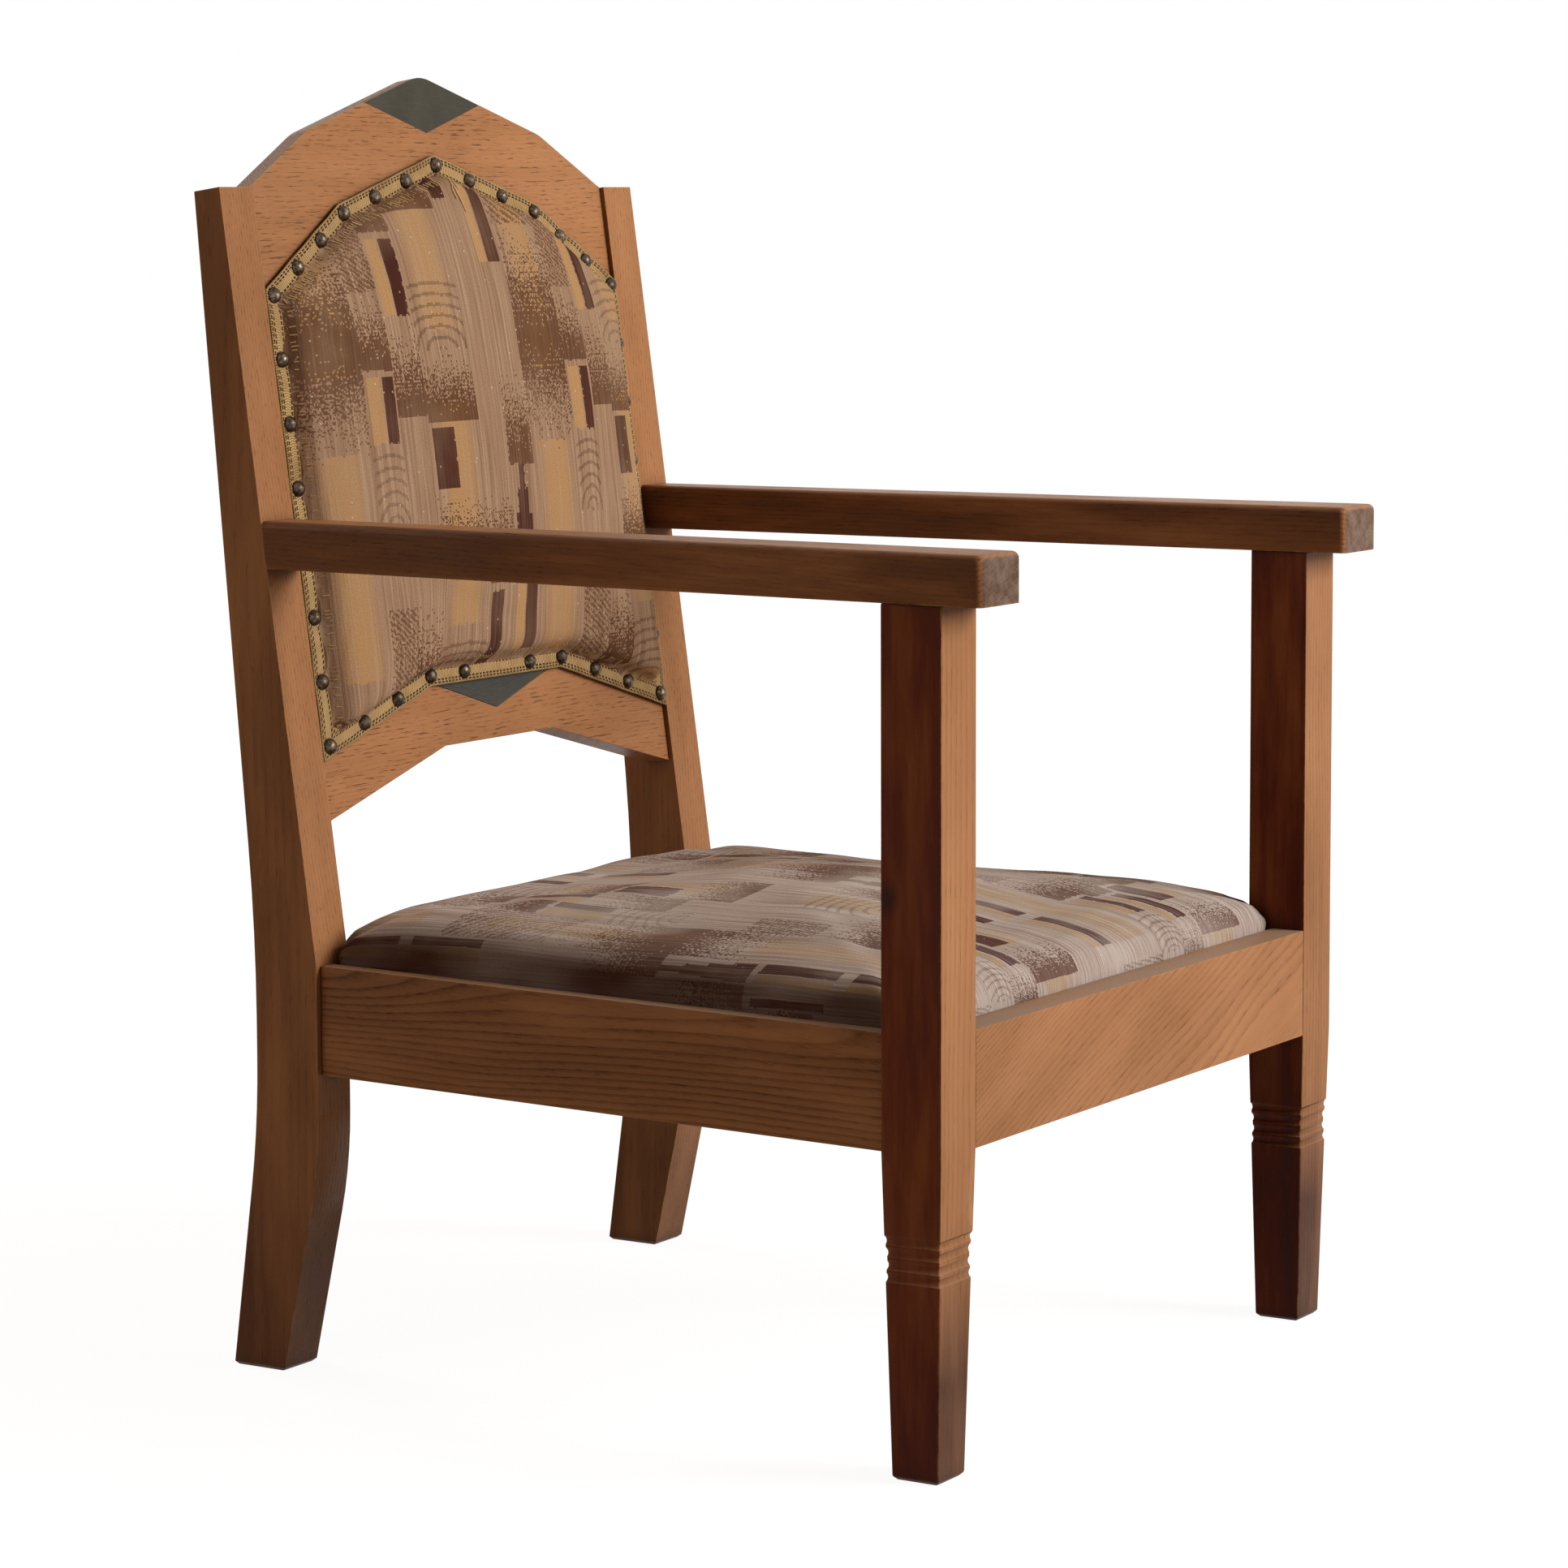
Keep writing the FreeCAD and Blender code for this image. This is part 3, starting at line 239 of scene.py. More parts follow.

# %% [markdown]
# ## Studio
#
# A sweep of white paper and one large soft lamp in front of the chair, a little to the sitter's left, give
# pale front faces and deep brown sides; painted shade in the oak and the seat cover darkens those sides
# further. The paper is white only for the eye of the camera and for reflections: its own shader glows
# there, and a thin diffuse part keeps the shadow under the feet. For bounced light it is a mid grey, so
# that the shaded sides stay dark.

# %% Paper floor
bpy.ops.mesh.primitive_circle_add(vertices=96, radius=9, fill_type="NGON")
paper = bpy.context.object
paper.name = "paper_floor"
PAPER_CLEAR, PAPER_EDGE = 0.9, 2.6

paper_finish, tree = start_finish("matt_white_paper")
sight = seen_directly(tree)
from_middle = length_of(tree, put(tree, "TexCoord", out="Object"))
glow = fade(tree, from_middle, PAPER_CLEAR, PAPER_EDGE, 0.93, 1.0)
fibre = put(tree, "TexNoise", Scale=400, Detail=2, out="Fac")
grey = ramp(tree, fibre, (0.3, "#918A80"), (0.7, "#9B948A"))
seen = put(tree, "AddShader", put(tree, "Emission", Color=WHITE, Strength=glow),
           put(tree, "BsdfDiffuse", Color=tint("#6A6866")))
surface = put(tree, "MixShader", sight, put(tree, "BsdfDiffuse", Color=grey), seen)
put(tree, "OutputMaterial", Surface=surface)
coat(paper, paper_finish)
print("paper floor", round(paper.dimensions.x, 1), "m across")

# %% World and lamps
world = bpy.data.worlds.new("studio")
scene.world = world
world.use_nodes = True
tree = world.node_tree
tree.nodes.clear()
ROOM_LIGHT = 0.22
ROOM_COLOUR = tint("#FFDFBE")
sight = seen_directly(tree)
strength = fade(tree, sight, 0.0, 1.0, ROOM_LIGHT, 1.0)
colour = blend(tree, sight, ROOM_COLOUR, WHITE)
put(tree, "OutputWorld", Surface=put(tree, "Background", Color=colour, Strength=strength))


def hang_lamp(name, place, side, watts):
    """A square soft lamp that looks at the seat."""
    lamp = bpy.data.objects.new(name, bpy.data.lights.new(name, "AREA"))
    lamp.data.size = side
    lamp.data.energy = watts
    lamp.location = place
    lamp.rotation_euler = (LAMP_AIM - Vector(place)).to_track_quat("-Z", "Y").to_euler()
    scene.collection.objects.link(lamp)
    print(name, "at", place, watts, "W")


LAMP_AIM = Vector((0, 0, 0.5))
hang_lamp("window_lamp", (1.1, -3.4, 1.9), side=1.8, watts=150)
hang_lamp("fill_lamp", (-3.2, 0.6, 1.8), side=2.0, watts=14)
hang_lamp("rear_lamp", (0.6, 3.4, 2.0), side=2.0, watts=45)

# %% [markdown]
# ## Stained oak
#
# Oak is a ring-porous wood: each year gives a band of open pores that takes the dark stain, then dense pale
# wood. Painting grain on each face never lines up at the edges, so the tree itself is modelled: the
# distance from a pith line is cut into rings, and every face and end of a board shows them as the saw
# would. Boards differ in how they are turned, in how far the pith lies from them, and in how dark the old
# varnish has gone.

# %% Oak, sawn, stained and varnished
RING = 3.4 * MM
PORE_WIDTH, PORE_LENGTH = 0.95 * MM, 15 * MM      # real pores are 0.3 mm wide, too fine to show
GRAIN_UP = (0, 0, 0)
GRAIN_TO_FRONT = (math.pi / 2, 0, 0)
GRAIN_ACROSS = (0, -math.pi / 2, 0)
TILTED_GRAIN = (0, -math.pi / 2 + 0.38, 0)
# Painted shade: the direction of the lamp, and the colours painted on oak faces that turn away from it.
PAINTED_LIGHT_FROM = Vector((0.1, -0.85, 0.5))
UMBER_PAINTED_SHADE = ("#3A1907", "#5C2F12", "#8A562E")
MADDER_PAINTED_SHADE = ("#340C02", "#541B06", "#7C401C")


def varnished_oak(piece, turn, pith, darkness=0.0, shade=0.3, foot=0.0, sway=9, figure=0.3, filled=0.0,
                  painted_shade_colours=UMBER_PAINTED_SHADE, dust_and_reflection_share=0.6, knot=None, ring=RING):
    """Satin varnish over brown stain: amber on faces toward the lamp, painted shade in red-brown on the sides
    away from it, dark pores, pale rubbed edges, grime and painted shade at the joints, grime at the feet,
    dust and a painted reflection on upward faces, and thirsty end grain."""
    low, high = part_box(piece)
    middle = Euler(turn).to_matrix() @ ((low + high) / 2)
    finish, tree = start_finish("varnished_oak_" + piece)
    here = put(tree, "TexCoord", out="Object")
    log = put(tree, "Mapping", here, tuple(-middle - Vector((pith[0] * MM, pith[1] * MM, 0))), turn)
    drift = speckle(tree, stretch(tree, log, (7.0, 7.0, 2.2)), 1.0, 2.0, 0.45, out="Color")
    drift = put(tree, "VectorMath", drift, (0.5, 0.5, 0.5), operation="SUBTRACT")
    bent = put(tree, "VectorMath", drift, (2 * sway * MM, 2 * sway * MM, 0), log, operation="MULTIPLY_ADD")
    from_pith = length_of(tree, stretch(tree, bent, (1, 1, 0)))
    year = calc(tree, "FRACT", calc(tree, "DIVIDE", from_pith, ring))
    early = ramp(tree, year, (0.0, "#000000"), (0.12, "#FFFFFF"), (0.3, "#BBBBBB"), (0.62, "#000000"))
    fine = stretch(tree, bent, (1 / PORE_WIDTH, 1 / PORE_WIDTH, 1 / PORE_LENGTH))
    pores = speckle(tree, fine, 1.0, 1.5, 0.6)
    pores = ramp(tree, pores, (0.56, "#000000"), (0.64, "#FFFFFF"))
    open_pores = times(tree, pores, fade(tree, early, 0.0, 1.0, 0.25, 1.0))
    streak = speckle(tree, stretch(tree, log, (60, 60, 2.5)), 1.0, 3.0)
    cloud = speckle(tree, here, 6.0, 3.0)

    wood = blend(tree, times(tree, early, figure), tint("#B37C50"), tint("#70431F"))
    wood = blend(tree, fade(tree, streak, 0.35, 0.75, 0.0, 0.3), wood, tint("#8A5833"))
    wood = blend(tree, fade(tree, open_pores, 0.0, 1.0, 0.0, 0.9 - filled), wood, tint("#42240E"))
    height = part_of(tree, here, "Z")
    shoe = fade(tree, height, 0.19, 0.07, 0.0, foot)
    age = fade(tree, cloud, 0.3, 0.7, darkness - 0.12, darkness + 0.16)
    age = calc(tree, "ADD", age, shoe, use_clamp=True)
    wood = blend(tree, age, wood, tint("#4A2A18"))
    normal = put(tree, "NewGeometry", out="Normal")
    # Painted shade: faces that turn away from the lamp are painted in the dark stain colours, as deep as the
    # board's shade says.
    facing_painted_light = agree(tree, normal, tuple(PAINTED_LIGHT_FROM))
    mottle = speckle(tree, stretch(tree, bent, (26, 26, 3.6)), 1.0, 4.0, 0.62)
    stain_in_painted_shade = ramp(tree, mottle, (0.34, painted_shade_colours[0]), (0.48, painted_shade_colours[1]), (0.66, painted_shade_colours[2]))
    wood = blend(tree, fade(tree, mottle, 0.45, 0.7, 0.0, 0.22), wood, tint("#C08A64"))
    wood = blend(tree, fade(tree, facing_painted_light, 0.05, 0.5, shade, 0.0), wood, stain_in_painted_shade)
    grain = Euler(turn).to_matrix().transposed() @ Vector((0, 0, 1))
    sawn = calc(tree, "ABSOLUTE", agree(tree, normal, tuple(grain)))
    rough_end = speckle(tree, here, 110.0, 4.0, 0.65)
    rough_end = ramp(tree, rough_end, (0.36, "#3C2C22"), (0.64, "#6A5C54"))
    wood = blend(tree, fade(tree, sawn, 0.75, 0.95, 0.0, 0.8), wood, rough_end)
    if knot:
        away = put(tree, "VectorMath", here, knot, operation="SUBTRACT")
        away = length_of(tree, stretch(tree, away, (1.0, 1.0, 0.6)))
        away = calc(tree, "MULTIPLY_ADD", cloud, 6 * MM, away)
        wood = blend(tree, fade(tree, away, 5 * MM, 12 * MM, 0.8, 0.0), wood, tint("#1E0C04"))
    # Dust and a painted reflection of the bright room: faces that turn upward are laid over with grey-mauve.
    upward = part_of(tree, normal, "Z")
    dust_and_reflection = fade(tree, upward, 0.4, 0.85, 0.0, dust_and_reflection_share)
    dust_and_reflection = times(tree, dust_and_reflection, fade(tree, cloud, 0.35, 0.65, 0.55, 1.0))
    wood = blend(tree, dust_and_reflection, wood, tint("#9C8A78"))
    # Grime and painted shade where parts meet: ambient occlusion darkens the wood in corners and joints.
    nook = put(tree, "AmbientOcclusion", Distance=0.018, samples=6, out="AO")
    wood = blend(tree, fade(tree, nook, 0.35, 0.85, 0.6, 0.0), wood, tint("#2E1A0F"))
    rounded = put(tree, "Bevel", Radius=2.6 * MM, samples=6)
    facing = agree(tree, rounded, put(tree, "NewGeometry", out="True Normal"))
    edge = fade(tree, facing, 0.985, 0.86, 0.0, 1.0)
    rub = speckle(tree, here, 55.0, 4.0, 0.65)
    rub = fade(tree, rub, 0.42, 0.62, 0.0, 0.62)
    worn = times(tree, edge, rub)
    wood = blend(tree, worn, wood, tint("#B98552"))

    gloss = fade(tree, cloud, 0.3, 0.7, 0.36, 0.52)
    gloss = calc(tree, "ADD", gloss, times(tree, open_pores, 0.2))
    relief = calc(tree, "MULTIPLY_ADD", open_pores, -1.0, times(tree, early, -0.25))
    bump = put(tree, "Bump", Strength=0.55, Distance=0.25 * MM, Height=relief)
    return end_finish(finish, tree, Base_Color=wood, Roughness=gloss, Normal=bump, IOR=1.5,
                      Specular_IOR_Level=0.09)


# %% Oak boards, how each was sawn
# shade is how deep the painted shade goes on a board's sides, away from the lamp.
LEG = dict(turn=GRAIN_UP, filled=0.6, painted_shade_colours=MADDER_PAINTED_SHADE)
POST = dict(turn=GRAIN_UP, shade=0.5, figure=0.2, filled=0.35)
ARM = dict(turn=GRAIN_TO_FRONT, darkness=0.2, figure=0.35, dust_and_reflection_share=0.15)
SIDE_RAIL = dict(turn=GRAIN_TO_FRONT, darkness=0.02, shade=0.5, sway=15, figure=0.9, ring=4.6 * MM)
KNOT = (-0.308, -0.2764, 0.407)
OAK_BOARDS = {
    "front_right_leg": dict(LEG, pith=(90, 140), foot=0.85, darkness=0.08, shade=0.97, figure=0.25,
                            knot=KNOT),
    "front_left_leg": dict(LEG, pith=(-120, 110), foot=0.9, darkness=0.26, shade=0.98, figure=0.3),
    "rear_right_post": dict(POST, pith=(150, 60), foot=0.6, darkness=0.15),
    "rear_left_post": dict(POST, pith=(-150, 80), foot=0.5, darkness=0.08),
    "right_arm": dict(ARM, pith=(60, 190), shade=0.75),
    "left_arm": dict(ARM, pith=(-80, 170), shade=0.8),
    "front_seat_rail": dict(turn=TILTED_GRAIN, pith=(120, 160), darkness=0.12, sway=16, filled=0.5),
    "right_seat_rail": dict(SIDE_RAIL, pith=(24, -44)),
    "left_seat_rail": dict(SIDE_RAIL, pith=(-26, 42)),
    "rear_seat_rail": dict(turn=GRAIN_ACROSS, pith=(40, 60), darkness=0.2, figure=0.5),
    "crest_rail": dict(turn=GRAIN_ACROSS, pith=(160, 60), darkness=0.08, sway=12, figure=0.12),
    "lower_back_rail": dict(turn=GRAIN_ACROSS, pith=(-140, 70), darkness=0.04, sway=12, figure=0.12),
}
for piece, sawn in OAK_BOARDS.items():
    coat(cad_pieces[piece], varnished_oak(piece, **sawn))
print("oak boards finished:", len(OAK_BOARDS))

# %% [markdown]
# ## Softened edges
#
# A century of hands and dusters has rounded every arris by about a millimetre. The CAD solids have sharp
# edges and must keep their meshes, so a modifier does it: the imported corners are welded first, because a
# bevel needs the faces on both sides of an edge to share it.

# %% Bevels
def soften(piece, width, turns=2):
    """Rounds the edges of a piece that has split corners."""
    weld = piece.modifiers.new("joined_corners", "WELD")
    weld.merge_threshold = WELD
    bevel = piece.modifiers.new("rubbed_edges", "BEVEL")
    bevel.width = width
    bevel.segments = turns
    bevel.limit_method = "ANGLE"
    bevel.angle_limit = math.radians(32)
    bevel.harden_normals = True
    bevel.use_clamp_overlap = True


for piece in OAK_BOARDS:
    soften(cad_pieces[piece], 1.1 * MM)
print("bevels on", len(OAK_BOARDS), "boards")

# %% [markdown]
# ## Dark inlays
#
# The kite in the crest and the triangle under the back panel are thin veneer, stained almost black with
# iron, which has gone greyish olive. Close grain barely shows, and the polish is a little duller than the
# oak's.

# %% Ebonised veneer
def ebonised_veneer(name, shade):
    """Almost black, faintly olive, hazy in patches, with browner rims and grain that barely shows."""
    finish, tree = start_finish(name)
    here = put(tree, "TexCoord", out="Object")
    fibre = speckle(tree, stretch(tree, here, (90, 900, 900)), 1.0, 3.0)
    haze = speckle(tree, here, 26.0, 4.0)
    colour = blend(tree, fade(tree, fibre, 0.35, 0.65, 0.0, 0.5), tint(shade), tint("#2B2822"))
    colour = blend(tree, fade(tree, haze, 0.45, 0.75, 0.0, 0.35), colour, tint("#5A5344"))
    rounded = put(tree, "Bevel", Radius=1.5 * MM, samples=4)
    facing = agree(tree, rounded, put(tree, "NewGeometry", out="True Normal"))
    colour = blend(tree, fade(tree, facing, 0.98, 0.8, 0.0, 0.5), colour, tint("#6E5A42"))
    gloss = fade(tree, haze, 0.3, 0.7, 0.34, 0.5)
    bump = put(tree, "Bump", Strength=0.3, Distance=0.1 * MM, Height=fibre)
    return end_finish(finish, tree, Base_Color=colour, Roughness=gloss, Normal=bump, IOR=1.5,
                      Specular_IOR_Level=0.15)


for piece, shade in (("crest_inlay", "#3B3628"), ("lower_inlay", "#3E3B35")):
    coat(cad_pieces[piece], ebonised_veneer("ebonised_veneer_" + piece, shade))
    soften(cad_pieces[piece], 0.4 * MM)
print("inlays finished")

# %% [markdown]
# ## Beech inside
#
# What nobody was meant to see, the loose seat frame, the corner blocks and the stiles behind the nails, is
# plain beech: planed, pinkish tan with short dark flecks, and stained only where an edge may show. It is
# darker and greyer in the corners, with dust and painted shade together.

# %% Planed beech
FLECK_WIDTH, FLECK_LENGTH = 0.9 * MM, 4 * MM


def planed_beech(name, turn, shades):
    """Pale pinkish tan with short dark flecks, dry and dull, with dust and painted shade in the corners."""
    finish, tree = start_finish(name)
    here = put(tree, "TexCoord", out="Object")
    log = put(tree, "Mapping", here, None, turn)
    fleck = stretch(tree, log, (1 / FLECK_WIDTH, 1 / FLECK_WIDTH, 1 / FLECK_LENGTH))
    fleck = speckle(tree, fleck, 1.0, 1.0)
    fleck = fade(tree, fleck, 0.58, 0.7, 0.0, 0.7)
    band = speckle(tree, stretch(tree, log, (70, 70, 3)), 1.0, 2.0)
    colour = ramp(tree, band, (0.3, shades[0]), (0.7, shades[1]))
    colour = blend(tree, fleck, colour, tint("#8A603D"))
    # Dust and painted shade: ambient occlusion darkens the wood in the corners.
    nook = put(tree, "AmbientOcclusion", Distance=0.03, samples=4, out="AO")
    colour = blend(tree, fade(tree, nook, 0.3, 0.9, 0.55, 0.0), colour, tint("#5E4A38"))
    bump = put(tree, "Bump", Strength=0.4, Distance=0.15 * MM, Height=band)
    gloss = fade(tree, band, 0.3, 0.7, 0.62, 0.74)
    return end_finish(finish, tree, Base_Color=colour, Roughness=gloss, Normal=bump, IOR=1.5)


PALE_BEECH, STAINED_BEECH = ("#B98F68", "#CFA985"), ("#5E3A20", "#7A5030")
BEECH_TURNS = {
    "stained_beech_upright": (GRAIN_UP, STAINED_BEECH, ("right_back_stile", "left_back_stile")),
    "planed_beech_across": (GRAIN_ACROSS, PALE_BEECH, (
        "seat_frame_front", "seat_frame_rear", "corner_block_front_right", "corner_block_rear_left")),
    "planed_beech_to_front": (GRAIN_TO_FRONT, PALE_BEECH, (
        "seat_frame_right", "seat_frame_left", "corner_block_front_left", "corner_block_rear_right")),
}
for name, (turn, shades, pieces) in BEECH_TURNS.items():
    beech = planed_beech(name, turn, shades)
    for piece in pieces:
        coat(cad_pieces[piece], beech)
        soften(cad_pieces[piece], 0.8 * MM)
print("beech pieces finished:", sum(len(pieces) for turn, shades, pieces in BEECH_TURNS.values()))

# %% [markdown]
# ## Moquette
#
# Both covers are moquette, a cut wool pile in upright columns of blocks: maroon, brown and straw on a taupe
# ground. Here it is a design of this lesson's own, mixed from plain geometric fillings: bars, steps, fans,
# zigzags, rungs, hatching and stippled fades. Columns swell and narrow, and each block of the repeat draws
# a number that picks its filling, or leaves it plain. Positions are rounded to the pile rows first, so that
# every edge has woven steps, and the pile is worn back to the ground along the warp.

# %% Cut-pile moquette
BLOCK_WIDTH, BLOCK_HEIGHT = 44 * MM, 72 * MM
REPEAT_BLOCKS = (6, 5)
STRIPE_LENGTH = 230 * MM
PILE_ROW = 1.4 * MM      # real rows are about 1 mm apart, drawn a little coarser to show


def cut_pile_moquette(name, seed, ground, dyes, wear, grime_and_painted_shade, shift=(0.0, 0.0)):
    """Wool pile: soft, almost without gloss, a light sheen at the rims, woven steps and rubbed streaks."""
    maroon, brown, straw, line = dyes
    finish, tree = start_finish(name)
    cloth = put(tree, "Attribute", attribute_name="cloth", out="Vector")
    cloth = put(tree, "VectorMath", cloth, (*shift, 0), operation="ADD")
    row = put(tree, "VectorMath", cloth, (PILE_ROW,) * 3, operation="SNAP")
    grit = put(tree, "TexWhiteNoise", Vector=row, out="Value")
    ragged = speckle(tree, row, 240.0, 1.0, out="Color")
    ragged = put(tree, "VectorMath", ragged, (0.5, 0.5, 0.5), operation="SUBTRACT")
    row = put(tree, "VectorMath", ragged, (1.2 * MM, 2.4 * MM, 0), row, operation="MULTIPLY_ADD")
    across = calc(tree, "DIVIDE", part_of(tree, row, "X"), BLOCK_WIDTH)
    swell = calc(tree, "SINE", times(tree, across, math.tau / 3))
    across = calc(tree, "MULTIPLY_ADD", swell, 0.22, across)
    column = calc(tree, "FLOOR", across)
    column = calc(tree, "FLOORED_MODULO", column, float(REPEAT_BLOCKS[0]))
    drop = put(tree, "TexWhiteNoise", calc(tree, "ADD", column, seed), noise_dimensions="1D", out="Value")
    along = calc(tree, "DIVIDE", part_of(tree, row, "Y"), BLOCK_HEIGHT)
    along = calc(tree, "MULTIPLY_ADD", along, fade(tree, drop, 0.0, 1.0, 0.7, 1.3), drop)
    block = calc(tree, "FLOORED_MODULO", calc(tree, "FLOOR", along), float(REPEAT_BLOCKS[1]))
    lot = put(tree, "TexWhiteNoise", put(tree, "CombineXYZ", column, block, seed * 3.7), out="Value")
    x = calc(tree, "FRACT", across)
    y = calc(tree, "FRACT", along)
    off_middle = calc(tree, "ABSOLUTE", calc(tree, "SUBTRACT", x, 0.5))

    tall = calc(tree, "COMPARE", y, 0.5, 0.42)
    left_bar = times(tree, tall, calc(tree, "COMPARE", x, 0.27, 0.2))
    right_bar = times(tree, tall, calc(tree, "COMPARE", x, 0.73, 0.2))
    step = calc(tree, "FLOOR", times(tree, y, 4.0))
    step = calc(tree, "MULTIPLY_ADD", step, -0.1, 0.42)
    steps = calc(tree, "LESS_THAN", off_middle, step)
    reach = put(tree, "CombineXYZ", off_middle, times(tree, y, 1.5))
    reach = length_of(tree, reach)
    fan = calc(tree, "FRACT", times(tree, reach, 4.4))
    fan = calc(tree, "LESS_THAN", fan, 0.3)
    zigzag = calc(tree, "PINGPONG", times(tree, x, 3.0), 0.5)
    zigzag = calc(tree, "MULTIPLY_ADD", y, 5.0, zigzag)
    zigzag = calc(tree, "LESS_THAN", calc(tree, "FRACT", zigzag), 0.28)
    rungs = calc(tree, "FRACT", times(tree, y, 6.0))
    rungs = calc(tree, "LESS_THAN", rungs, 0.26)
    slant = calc(tree, "ADD", times(tree, x, 5.0), times(tree, y, 12.0))
    slant = calc(tree, "LESS_THAN", calc(tree, "FRACT", slant), 0.62)
    hatch = times(tree, slant, calc(tree, "GREATER_THAN", grit, 0.22))
    vee = calc(tree, "PINGPONG", times(tree, x, 12.0), 0.5)
    vee = calc(tree, "FRACT", calc(tree, "MULTIPLY_ADD", y, 23.0, vee))
    vee = calc(tree, "MULTIPLY_ADD", vee, 0.6, times(tree, grit, 0.75))
    rising = calc(tree, "LESS_THAN", vee, fade(tree, y, 0.0, 1.0, 1.35, 0.05))
    falling = calc(tree, "LESS_THAN", vee, fade(tree, y, 0.0, 1.0, 0.0, 1.3))

    warp = speckle(tree, stretch(tree, cloth, (420, 7, 0)), 1.0, 3.0, 0.6)
    broad = speckle(tree, cloth, 9.0, 2.0)
    colour = ramp(tree, warp, (0.3, ground[0]), (0.5, ground[1]), (0.72, ground[2]))
    length = calc(tree, "DIVIDE", part_of(tree, row, "Y"), STRIPE_LENGTH)
    length = calc(tree, "FRACT", calc(tree, "ADD", length, drop))
    stripe = times(tree, calc(tree, "LESS_THAN", length, 0.75),
                   fade(tree, off_middle, 0.36, 0.14, 0.0, 1.0))
    third = calc(tree, "COMPARE", calc(tree, "FLOORED_MODULO", column, 3.0), 1.0, 0.5)
    stripe = times(tree, stripe, third)
    stripe = times(tree, stripe, fade(tree, warp, 0.35, 0.65, 0.85, 0.3))
    colour = blend(tree, stripe, colour, tint(straw))
    fillings = (
        (0.00, 0.10, left_bar, maroon, 0.95),
        (0.10, 0.20, right_bar, maroon, 0.95),
        (0.10, 0.20, left_bar, straw, 0.8),
        (0.20, 0.25, steps, maroon, 0.92),
        (0.25, 0.29, fan, line, 0.45),
        (0.29, 0.32, zigzag, line, 0.65),
        (0.32, 0.35, rungs, line, 0.65),
        (0.35, 0.39, hatch, brown, 0.7),
        (0.39, 0.56, rising, brown, 0.85),
        (0.56, 0.66, falling, brown, 0.85),
    )
    for first, last, shape, dye, depth in fillings:
        chosen = calc(tree, "COMPARE", lot, (first + last) / 2, (last - first) / 2)
        shape = times(tree, chosen, shape)
        shape = times(tree, shape, depth)
        colour = blend(tree, shape, colour, tint(dye))
    rubbed = fade(tree, warp, 0.45, 0.8, 0.0, wear)
    rubbed = times(tree, rubbed, fade(tree, broad, 0.35, 0.7, 0.25, 1.0))
    colour = blend(tree, rubbed, colour, tint(ground[2]))
    bald = speckle(tree, cloth, 7.0, 3.0, 0.6)
    bald = fade(tree, bald, 0.47, 0.66, 0.0, wear * 0.75)
    colour = blend(tree, bald, colour, tint(ground[2]))
    lint = calc(tree, "GREATER_THAN", grit, 0.9988)
    colour = blend(tree, times(tree, lint, 0.5), colour, tint("#E6DCCB"))
    tuft = speckle(tree, cloth, 900.0, 2.0)
    colour = blend(tree, fade(tree, tuft, 0.3, 0.7, 0.0, 0.28), colour, tint("#3A2A20"))
    # Grime and painted shade low on the cover: darker towards the bottom, most on faces that turn sideways,
    # away from the lamp.
    low = part_of(tree, put(tree, "TexCoord", out="Object"), "Z")
    hem = fade(tree, low, grime_and_painted_shade[0], grime_and_painted_shade[1], 0.0, grime_and_painted_shade[2])
    hem = times(tree, hem, fade(tree, broad, 0.3, 0.7, 0.75, 1.0))
    aside = calc(tree, "ABSOLUTE", part_of(tree, put(tree, "NewGeometry", out="Normal"), "X"))
    hem = times(tree, hem, fade(tree, aside, 0.1, 0.6, 0.3, 1.0))
    colour = blend(tree, hem, colour, tint("#3A1703"))
    relief = calc(tree, "ADD", tuft, times(tree, warp, 1.5))
    bump = put(tree, "Bump", Strength=0.6, Distance=0.5 * MM, Height=relief)
    dull = fade(tree, warp, 0.3, 0.7, 0.86, 0.96)
    return end_finish(finish, tree, Base_Color=colour, Roughness=dull, Normal=bump, Sheen_Weight=0.06,
                      Sheen_Roughness=0.5, Sheen_Tint=tint("#C79A72"), IOR=1.45, Specular_IOR_Level=0.03)


SEED = 11.0
back_moquette = cut_pile_moquette(
    "cut_pile_moquette_back", SEED, ground=("#8D6D54", "#A78469", "#BC9E80"),
    dyes=("#441C18", "#5C3722", "#C49661", "#4A2B1F"), wear=0.3, grime_and_painted_shade=(0.5, 0.45, 0.15))
seat_moquette = cut_pile_moquette(
    "cut_pile_moquette_seat", SEED, ground=("#A18C80", "#C8B6AB", "#E6DACF"),
    dyes=("#533030", "#67443A", "#C4A47C", "#5A4038"), wear=0.6, grime_and_painted_shade=(0.366, 0.328, 0.96),
    shift=(0.02, 0.03))
repeat = (REPEAT_BLOCKS[0] * BLOCK_WIDTH, REPEAT_BLOCKS[1] * BLOCK_HEIGHT)
print("moquette repeat", [round(size / MM) for size in repeat], "mm")

# %% [markdown]
# ## Stuffed covers
#
# The seat and the back panel are stuffed with hair under a cover that is pulled down and tacked all round.
# The CAD pads have that form in facets. Cloth under pressure makes it soft: the pad is copied a little
# slack, given an even net, held where it is tacked, and blown up for twenty steps. Nothing limits how far
# the cloth travels, so each point's move is capped afterwards. A small unevenness of the stuffing follows.
# Below the seat, the cover goes on as a skirt round the loose frame. It is thinner than the squares of the
# net, so it is made thick for the net and laid back on the CAD faces afterwards.

# %% Fill a cover by cloth under pressure
NET = 5 * MM
FILL_STEPS = 20
FILL_CAP = 9 * MM


